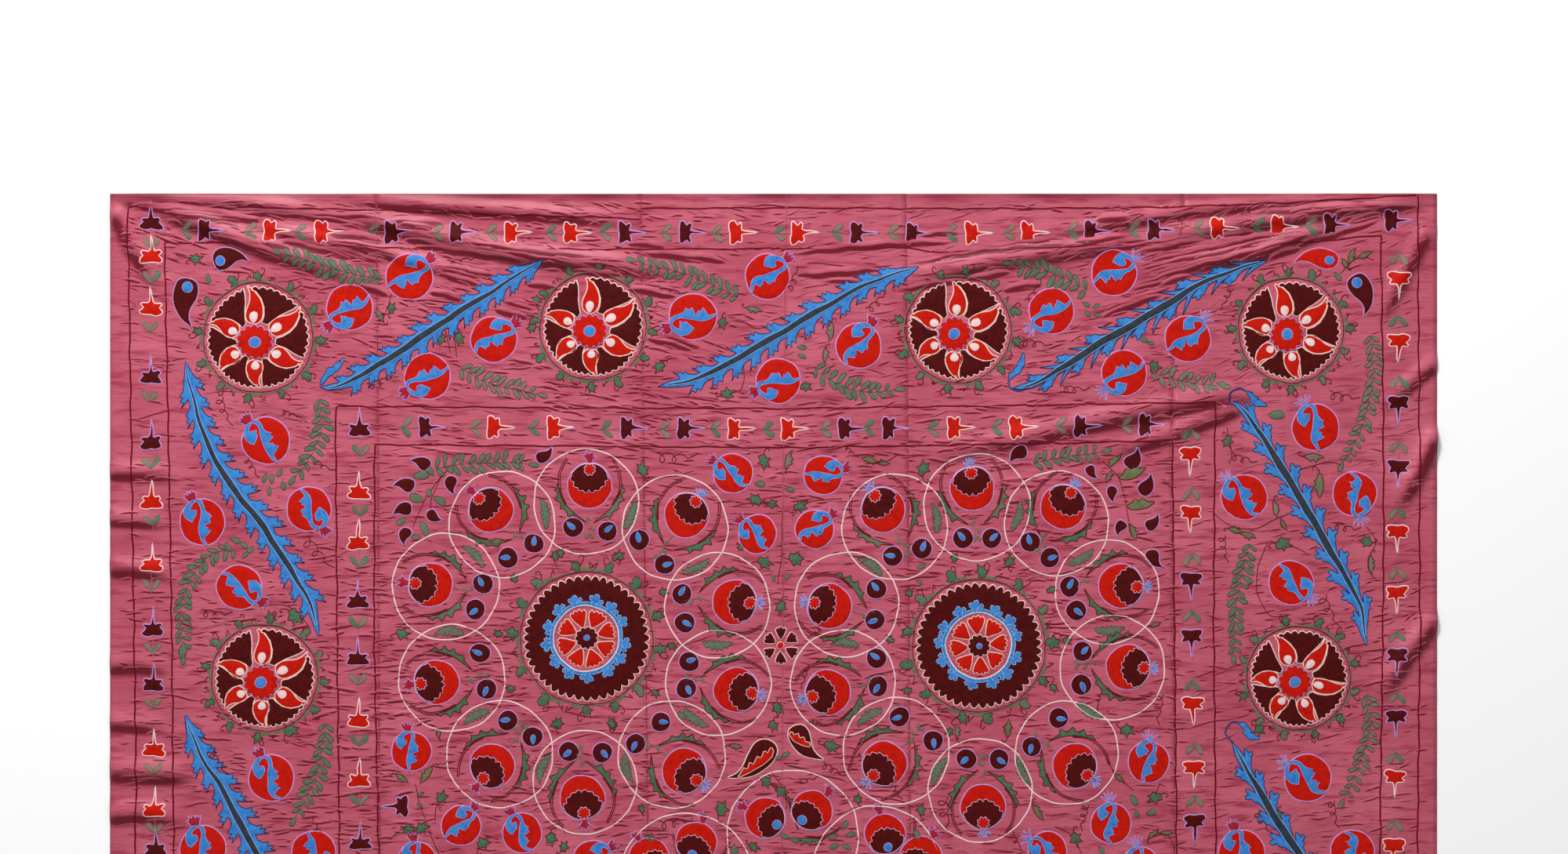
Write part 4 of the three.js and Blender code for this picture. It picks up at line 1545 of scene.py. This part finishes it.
def wavy_path(x, y, length, turn):
    """A nearly straight path with a slow bend and small waves, in metres."""
    count = max(int(length / TUCK_STEP), 3)
    t = np.linspace(-0.5, 0.5, count + 1)
    bend = rng.uniform(-TUCK_BEND, TUCK_BEND) * length
    waves = WAVE_HEIGHT * np.sin(t * length / WAVE_LENGTH + rng.uniform(0, 6.3))
    u, v = t * length, bend * (t**2 - 0.1) + waves + rng.uniform(-0.5, 0.5, count + 1) * MILLIMETRE
    c, s = math.cos(turn), math.sin(turn)
    return np.stack([x + u * c - v * s, y + u * s + v * c], 1)


# Beyond this place on the right, the silk is smoother and its tucks are this much weaker
PLAIN_FROM = 0.68
PLAIN_STRENGTH = 0.72
# How far small tucks lean at the top corners, and on the right side, in degrees
LEAN_AT_TOP = 10.0
LEAN_AT_RIGHT = 9.0
# Lengths of small tucks in millimetres, with the share of them that are longer and how much longer
TUCK_LENGTHS = (18, 56)
LONG_TUCK_SHARE = 0.12
LONG_TUCK = 1.7


def drag_slope(x, y):
    """How the silk's small tucks lean: level in the field, and fanned out from the two top corners."""
    slope = math.radians(LEAN_AT_TOP) * math.copysign(1, x) * float(smooth_step(np.array((y - 0.75) / 0.5)))
    return slope + math.radians(LEAN_AT_RIGHT) * float(smooth_step(np.array((x - 0.45) / 0.4)))


def scattered_tucks(count, low, high, relief, stitched):
    """Small tucks on the bare silk between two heights of the cloth."""
    meshes = []
    for _ in range(count):
        x = rng.uniform(-HALF_WIDTH, HALF_WIDTH)
        y = rng.uniform(low, high)
        length = rng.uniform(*TUCK_LENGTHS) * MILLIMETRE
        length *= LONG_TUCK if rng.random() < LONG_TUCK_SHARE else 1.0
        turn = drag_slope(x, y) + math.radians(rng.normal(0, 8))
        patchy = 0.9 + 0.45 * math.sin(5.3 * x + 2.1 * y + 1.0) * math.sin(6.1 * y - 1.9 * x + 0.5)
        strength = patchy * (0.3 + 1.05 * rng.random() ** 1.4) * (PLAIN_STRENGTH if x > PLAIN_FROM else 1.0)
        path = longest_bare_run(wavy_path(x, y, length, turn), stitched)
        if len(path) < 3 or near_edge(path):
            continue
        t = np.linspace(0, 1, len(path))
        size = strength * (0.06 + 0.94 * np.sin(math.pi * t) ** 0.7) * rng.uniform(0.8, 1.0, len(path))
        meshes.append(tuck_mesh(path, size, TUCK_SECTION, relief))
    return meshes


# Tucks of each top corner: how many, their distances in metres, directions in degrees, lengths in millimetres
CORNER_TUCKS = 95
CORNER_REACHES = (0.06, 0.95)
CORNER_AIMS = (4, 30)
CORNER_LENGTHS = (90, 340)
CORNER_INSET = 0.02
CORNER_FLATNESS = 0.6
CORNER_TURN = 0.62


def corner_tucks(relief, stitched):
    """Long straight tucks that fan out of the two top corners, where the cloth is drawn tight."""
    meshes = []
    for corner in (-1, 1):
        for _ in range(CORNER_TUCKS):
            reach = rng.uniform(*CORNER_REACHES)
            aim = math.radians(rng.uniform(*CORNER_AIMS))
            x = corner * (HALF_WIDTH - CORNER_INSET - reach * math.cos(aim))
            y = HALF_LENGTH - CORNER_INSET - reach * math.sin(aim) * CORNER_FLATNESS
            length = rng.uniform(*CORNER_LENGTHS) * MILLIMETRE
            path = longest_bare_run(wavy_path(x, y, length, CORNER_TURN * corner * aim), stitched)
            if len(path) < 8 or near_edge(path):
                continue
            t = np.linspace(0, 1, len(path))
            size = rng.uniform(0.45, 1.7) * (0.04 + 0.96 * np.sin(math.pi * t) ** 0.8)
            meshes.append(tuck_mesh(path, size, FOLD_SECTION, relief))
    return meshes


SEAM_STEP = 12 * MILLIMETRE
SEAM_ENDS = 4 * MILLIMETRE


def seam_lines(relief):
    """The sewn joins with the short puckers across them, and the pressed line down the middle."""
    meshes = []
    y = np.arange(-HALF_LENGTH + SEAM_ENDS, HALF_LENGTH - SEAM_ENDS, SEAM_STEP)
    for stations in SEAMS:
        path = np.stack([seam_at(stations, y), y], 1)
        meshes.append(tuck_mesh(path, rng.uniform(0.5, 1.0, len(y)), SEAM_SECTION, relief))
        for place in y[1:-1:2]:
            x = float(seam_at(stations, place)) + rng.uniform(-12, 12) * MILLIMETRE
            pucker = wavy_path(x, place, rng.uniform(14, 34) * MILLIMETRE, math.radians(rng.normal(0, 8)))
            t = np.linspace(0, 1, len(pucker))
            size = rng.uniform(0.4, 1.0) * (0.06 + 0.94 * np.sin(math.pi * t))
            meshes.append(tuck_mesh(pucker, size, TUCK_SECTION, relief))
    path = np.stack([seam_at(STORAGE_FOLD, y), y], 1)
    meshes.append(tuck_mesh(path, rng.uniform(0.7, 1.0, len(y)), PRESS_SECTION, relief))
    return meshes


UPPER_TUCKS = 7600
LOWER_TUCKS = 1700
END_MARGIN = 10 * MILLIMETRE


def build_tucks(relief, stitched, material):
    upper = scattered_tucks(UPPER_TUCKS, FINE_FROM, HALF_LENGTH - END_MARGIN, relief, stitched)
    upper += corner_tucks(relief, stitched)
    lower = scattered_tucks(LOWER_TUCKS, -HALF_LENGTH + END_MARGIN, FINE_FROM, relief, stitched)
    lower += seam_lines(relief)
    for name, meshes in (("upper_tucks", upper), ("lower_tucks", lower)):
        piece = new_piece(name, *joined([mesh[:2] for mesh in meshes]), material, "ground_silk")
        mark_shade(piece, np.concatenate([mesh[2] for mesh in meshes]))


def distance_to(points, outline):
    """How far each point is from a closed outline."""
    start, end = outline, np.roll(outline, -1, 0)
    best = np.full(len(points), np.inf)
    for a, b in zip(start, end, strict=True):
        _, away = nearest_on_stretch(points[:, 0], points[:, 1], a, b)
        best = np.minimum(best, away)
    return best


LAYER_RISE = 0.9 * MILLIMETRE
RIM_RISE = 0.35 * MILLIMETRE
FILL_RISE = 1.05 * MILLIMETRE
RIM_WIDTH = 3.6
INNER_STEP = 5.2


# Points of an outline that are nearer to each other than this are one point
CLOSE_POINTS = 0.25


def without_repeats(outline):
    apart = np.hypot(*(outline - np.roll(outline, 1, 0)).T)
    return outline[apart > CLOSE_POINTS]


# The scatter inside areas, in pixels: large areas have an even step, and small ones a number of steps across
LARGE_AREA = 26
SMALL_AREA_STEPS = 4.5
SMALLEST_STEP = 2.6
COARSE_FACTOR = 1.7
SCATTER_ROW = 0.87


def inner_points(outline, hole, coarse):
    """An even scatter of points inside an outline, clear of its edges, with their distances from them."""
    low, high = outline.min(0), outline.max(0)
    size = float(min(high - low))
    step = INNER_STEP if size > LARGE_AREA else max(size / SMALL_AREA_STEPS, SMALLEST_STEP)
    if coarse:
        step *= COARSE_FACTOR
    xs = np.arange(low[0], high[0], step)
    ys = np.arange(low[1], high[1], step * SCATTER_ROW)
    x, y = np.meshgrid(xs, ys)
    x[1::2] += step / 2
    keep = inside(x, y, outline)
    if hole is not None:
        keep &= ~inside(x, y, hole)
    points = np.stack([x[keep], y[keep]], 1)
    if not len(points):
        return points, np.zeros(0)
    away = distance_to(points, outline)
    if hole is not None:
        away = np.minimum(away, distance_to(points, hole))
    far = away > min(1.5, size / 6)
    return points[far], away[far]


def area_mesh(area, relief):
    """Points and triangles of one filled area: soft at its rim and plump inside."""
    outline = without_repeats(hand_drawn(area["outline"]))
    if len(outline) < 3:
        return np.zeros((0, 3)), np.zeros((0, 3), int)
    hole = None if area["hole"] is None else hand_drawn(area["hole"])
    inner, away = inner_points(outline, hole, area["coarse"])
    loops = [outline] if hole is None else [outline, hole]
    flat = np.vstack([*loops, inner])
    edges, start = [], 0
    for loop in loops:
        edges += [(start + k, start + (k + 1) % len(loop)) for k in range(len(loop))]
        start += len(loop)
    found = delaunay_2d_cdt([tuple(p) for p in flat.tolist()], edges, [], 1, 1e-5)
    points = np.array([tuple(p) for p in found[0]], float)
    triangles = np.array([f for f in found[2] if len(f) == 3], int).reshape(-1, 3)
    if hole is not None and len(triangles):
        middle = points[triangles].mean(1)
        triangles = triangles[~inside(middle[:, 0], middle[:, 1], hole)]
    rise = np.full(len(points), RIM_RISE)
    for k, sources in enumerate(found[3]):
        inner_index = max(sources) - start if len(sources) else -1
        if inner_index >= 0:
            round_off = 1 - min(away[inner_index] / RIM_WIDTH, 1.0)
            rise[k] = RIM_RISE + (FILL_RISE - RIM_RISE) * (1 - round_off**2)
    metres = to_metres(points)
    z = sample(relief, metres[:, 0], metres[:, 1]) + rise + area["layer"] * LAYER_RISE
    triangles = triangles[:, ::-1] if signed_area(metres, triangles) < 0 else triangles
    return np.column_stack([metres, z]), triangles


def signed_area(points, triangles):
    if not len(triangles):
        return 0.0
    a, b, c = (points[triangles[:, k], :2] for k in range(3))
    first, second = b - a, c - a
    return float(np.sum(first[:, 0] * second[:, 1] - first[:, 1] * second[:, 0]))


LINE_RISE = 1.0 * MILLIMETRE
LINE_FOOT = 0.1 * MILLIMETRE


SHARP_TURN = 50


def sharp_corners(points):
    """How many corners of a line turn by more than a sharp turn's degrees."""
    step = np.diff(points, axis=0)
    aim = np.degrees(np.unwrap(np.arctan2(step[:, 1], step[:, 0])))
    return int(np.sum(np.abs(np.diff(aim)) > SHARP_TURN))


# The step along a chain stitch, in pixels, for lines wider than WIDE_LINE and for the others
WIDE_LINE = 1.4
WIDE_STEP, NARROW_STEP = 4.0, 3.8


def line_mesh(line, relief):
    """Points and triangles of one line of chain stitch, as a low ridge."""
    width = line["width"] * PIXEL
    points = without_repeats(line["points"]) if line["closed"] else line["points"]
    step = WIDE_STEP if line["width"] > WIDE_LINE else NARROW_STEP
    rough = np.hypot(*np.diff(points, axis=0).T).mean() if len(points) > 1 else 0
    smooth = sharp_corners(points) < 3
    if rough > 1.6 * step or rough < (0.8 if smooth else 0.45) * step:
        points = spaced(points, step, line["closed"])
    if line["coarse"] and smooth:
        points = spaced(points, 2 * step, line["closed"])
    if len(points) < 2:
        return np.zeros((0, 3)), np.zeros((0, 3), int)
    path = to_metres(hand_drawn(points))
    side = sideways(path, line["closed"]) * width / 2
    lift = line["layer"] * LAYER_RISE
    rows = []
    for away, rise in ((-1, -LINE_FOOT), (0, LINE_RISE), (1, -LINE_FOOT)):
        at = path - away * side
        rows.append(np.column_stack([at, sample(relief, at[:, 0], at[:, 1]) + rise + lift]))
    count = len(path)
    vertices = np.vstack(rows)
    here = np.arange(count if line["closed"] else count - 1)
    there = (here + 1) % count
    triangles = []
    for k in (0, 1):
        a, b, c, d = k * count + here, k * count + there, (k + 1) * count + here, (k + 1) * count + there
        triangles += [np.stack([a, c, d], 1), np.stack([a, d, b], 1)]
    return vertices, np.concatenate(triangles)


def joined(meshes):
    """Many small meshes as one."""
    vertices, triangles, start = [], [], 0
    for points, faces in meshes:
        vertices.append(points)
        triangles.append(faces + start)
        start += len(points)
    return np.vstack(vertices), np.concatenate(triangles)


# Materials.


def linear(*levels):
    """A colour given from 0 to 255, as on the screen, in the shader's linear numbers."""
    channels = []
    for level in levels:
        share = level / 255
        channels.append(share / 12.92 if level < 10.3 else ((share + 0.055) / 1.055) ** 2.4)
    return (*channels, 1)


def material_with_shader(name, roughness, sheen, specular):
    material = bpy.data.materials.new(name)
    material.use_nodes = True
    shader = material.node_tree.nodes["Principled BSDF"]
    shader.inputs["Roughness"].default_value = roughness
    shader.inputs["Sheen Weight"].default_value = sheen
    shader.inputs["Sheen Roughness"].default_value = 0.45
    shader.inputs["Specular IOR Level"].default_value = specular
    return material, material.node_tree, shader


def noise(tree, scale, stretch=(1, 1, 1), detail=3.0, turn=0.0):
    """Noise in the cloth's own coordinates, stretched along its threads. Returns its factor."""
    place = tree.nodes.new("ShaderNodeTexCoord")
    mapping = tree.nodes.new("ShaderNodeMapping")
    mapping.inputs["Scale"].default_value = stretch
    mapping.inputs["Rotation"].default_value = (0, 0, turn)
    texture = tree.nodes.new("ShaderNodeTexNoise")
    texture.inputs["Scale"].default_value = scale
    texture.inputs["Detail"].default_value = detail
    tree.links.new(place.outputs["Object"], mapping.inputs["Vector"])
    tree.links.new(mapping.outputs["Vector"], texture.inputs["Vector"])
    return texture.outputs["Fac"]


def ramp(tree, factor, low, high):
    """The factor's range from low to high, spread over 0 to 1."""
    spread = tree.nodes.new("ShaderNodeMapRange")
    spread.inputs["From Min"].default_value = low
    spread.inputs["From Max"].default_value = high
    tree.links.new(factor, spread.inputs["Value"])
    return spread.outputs["Result"]


def mixed(tree, factor, first, second):
    """A colour between two colours or sockets."""
    mix = tree.nodes.new("ShaderNodeMix")
    mix.data_type = "RGBA"
    tree.links.new(factor, mix.inputs["Factor"])
    for name, value in (("A", first), ("B", second)):
        socket = next(s for s in mix.inputs if s.name == name and s.type == "RGBA")
        if isinstance(value, tuple):
            socket.default_value = value
        else:
            tree.links.new(value, socket)
    return next(s for s in mix.outputs if s.type == "RGBA")


def bumped(tree, shader, factor, strength, distance):
    bump = tree.nodes.new("ShaderNodeBump")
    bump.inputs["Strength"].default_value = strength
    bump.inputs["Distance"].default_value = distance
    tree.links.new(factor, bump.inputs["Height"])
    tree.links.new(bump.outputs["Normal"], shader.inputs["Normal"])


def silk_material():
    """Rose silk: slubbed along the weft, a little mottled, with shade painted along its fine wrinkles and in
    its creases.
    """
    material, tree, shader = material_with_shader("ground_silk", 0.5, 0.12, 0.3)
    mottle = ramp(tree, noise(tree, 7.0, detail=4.0), 0.3, 0.7)
    colour = mixed(tree, mottle, linear(172, 70, 90), linear(192, 92, 112))
    slubs = ramp(tree, noise(tree, 1.0, (30, 700, 1), 2.0), 0.5, 0.85)
    slubbed = mixed(tree, slubs, colour, linear(150, 52, 74))
    wrinkle = noise(tree, 1.0, (16, 95, 1), 3.0)
    # Painted shade along the fine wrinkles, where the same noise also bumps the surface
    wrinkle_shaded = mixed(tree, ramp(tree, wrinkle, 0.52, 0.66), slubbed, linear(158, 52, 76))
    # Painted shade: the shade marked on the points darkens the colour towards a deep crimson
    attribute = tree.nodes.new("ShaderNodeAttribute")
    attribute.attribute_name = "painted_shade"
    shade_amount = ramp(tree, attribute.outputs["Fac"], 0.05, 0.72)
    tree.links.new(mixed(tree, shade_amount, wrinkle_shaded, linear(108, 3, 30)), shader.inputs["Base Color"])
    shader.inputs["Sheen Tint"].default_value = linear(255, 190, 200)
    bumped(tree, shader, wrinkle, 0.22, 2.0 * MILLIMETRE)
    return material


THREAD_ROUGHNESS = 0.6


def thread_material(name, base, shade):
    """Silk thread laid in close rows: painted flecks of light and shade between its lit and its shaded
    colour, and a fine ribbed relief.
    """
    material, tree, shader = material_with_shader(f"{name}_thread", THREAD_ROUGHNESS, 0.0, 0.08)
    patchy = ramp(tree, noise(tree, 130.0, detail=2.0), 0.3, 0.72)
    flecks = ramp(tree, noise(tree, 1.0, (420, 1100, 1), 2.0, 0.35), 0.35, 0.7)
    colour = mixed(tree, patchy, base, shade)
    fleck = mixed(tree, flecks, colour, shade)
    tree.links.new(mixed(tree, patchy, fleck, colour), shader.inputs["Base Color"])
    bumped(tree, shader, flecks, 0.28, 0.5 * MILLIMETRE)
    return material


# Each thread's lit colour, its shaded colour and the record's slot.
THREADS = {
    "red": ((204, 26, 4), (168, 12, 2), "red_thread"),
    "crimson": ((118, 8, 32), (88, 4, 22), "maroon_thread"),
    "wine": ((172, 34, 56), (140, 20, 42), "red_thread"),
    "maroon": ((90, 10, 10), (58, 5, 6), "maroon_thread"),
    "brown": ((112, 26, 36), (84, 18, 26), "maroon_thread"),
    "navy": ((48, 40, 84), (32, 26, 62), "blue_thread"),
    "blue": ((72, 146, 208), (44, 104, 180), "blue_thread"),
    "sky": ((150, 190, 232), (120, 164, 218), "blue_thread"),
    "pale_blue": ((158, 166, 222), (128, 142, 208), "blue_thread"),
    "lavender": ((202, 156, 206), (164, 118, 180), "pale_thread"),
    "pale_edge": ((226, 184, 204), (190, 150, 186), "pale_thread"),
    "slate": ((60, 66, 76), (38, 42, 50), "blue_thread"),
    "green": ((82, 120, 88), (60, 90, 66), "green_thread"),
    "moss": ((114, 122, 84), (88, 96, 64), "green_thread"),
    "fern": ((106, 122, 98), (82, 94, 76), "green_thread"),
    "sage": ((146, 118, 108), (120, 104, 88), "green_thread"),
    "olive": ((128, 122, 104), (100, 96, 82), "green_thread"),
    "dark_green": ((84, 78, 66), (60, 56, 46), "green_thread"),
    "cream": ((240, 214, 202), (214, 180, 170), "pale_thread"),
    "white": ((238, 214, 212), (212, 184, 184), "pale_thread"),
}


def build_embroidery(relief):
    """One piece for the areas and one for the lines of each thread."""
    for thread, (base, shade, slot) in THREADS.items():
        material = thread_material(thread, linear(*base), linear(*shade))
        areas = [area_mesh(a, relief) for a in AREAS if a["thread"] == thread]
        lines = [line_mesh(s, relief) for s in LINES if s["thread"] == thread]
        if areas:
            new_piece(f"{thread}_fillings", *joined(areas), material, slot)
        if lines:
            new_piece(f"{thread}_outlines", *joined(lines), material, slot)


# Floor, light and camera.

CAMERA_HEIGHT = 6.0
VIEW_WIDTH = IMAGE_WIDTH * PIXEL
SENSOR = 36.0


FLOOR_HALF = 14.0


def make_floor():
    mesh = bpy.data.meshes.new("floor")
    corners = [(x * FLOOR_HALF, y * FLOOR_HALF, 0) for x, y in ((-1, -1), (1, -1), (1, 1), (-1, 1))]
    mesh.from_pydata(corners, [], [(0, 1, 2, 3)])
    material = bpy.data.materials.new("floor_paint")
    material.use_nodes = True
    shader = material.node_tree.nodes["Principled BSDF"]
    shader.inputs["Base Color"].default_value = linear(250, 250, 250)
    shader.inputs["Roughness"].default_value = 0.9
    mesh.materials.append(material)
    floor = bpy.data.objects.new("floor", mesh)
    bpy.context.scene.collection.objects.link(floor)


def area_light(name, place, target, size, power):
    lamp = bpy.data.lights.new(name, "AREA")
    lamp.shape = "DISK"
    lamp.size = size
    lamp.energy = power
    light = bpy.data.objects.new(name, lamp)
    light.location = place
    aim = np.array(target, float) - np.array(place, float)
    flat = math.hypot(aim[0], aim[1])
    light.rotation_euler = (math.atan2(flat, -aim[2]), 0, math.atan2(aim[1], aim[0]) - math.pi / 2)
    bpy.context.scene.collection.objects.link(light)


KEY_PLACE = (-1.2, 5.2, 3.0)
KEY_TARGET = (0, 0.6, 0)
KEY_SIZE = 1.6
KEY_POWER = 330


def make_light():
    world = bpy.data.worlds.new("studio")
    world.use_nodes = True
    background = world.node_tree.nodes["Background"]
    background.inputs["Color"].default_value = (1.0, 1.0, 1.0, 1)
    background.inputs["Strength"].default_value = 0.5
    bpy.context.scene.world = world
    area_light("key", KEY_PLACE, KEY_TARGET, KEY_SIZE, KEY_POWER)
    bpy.context.scene.view_settings.view_transform = "Standard"


def make_camera():
    camera = bpy.data.cameras.new("camera")
    camera.sensor_width = SENSOR
    camera.lens = SENSOR * CAMERA_HEIGHT / VIEW_WIDTH
    holder = bpy.data.objects.new("camera", camera)
    middle = to_metres([(IMAGE_WIDTH / 2, IMAGE_HEIGHT / 2)])[0]
    holder.location = (middle[0], middle[1], CAMERA_HEIGHT + CLOTH_THICKNESS)
    bpy.context.scene.collection.objects.link(holder)
    bpy.context.scene.camera = holder


make_camera()
make_floor()
make_light()
draw_design()
relief, painted_shade, stitched = make_relief()
silk = silk_material()
for number in range(len(SEAMS) + 1):
    ground_panel(number, relief, painted_shade, silk)
build_tucks(relief, stitched, silk)
build_embroidery(relief)
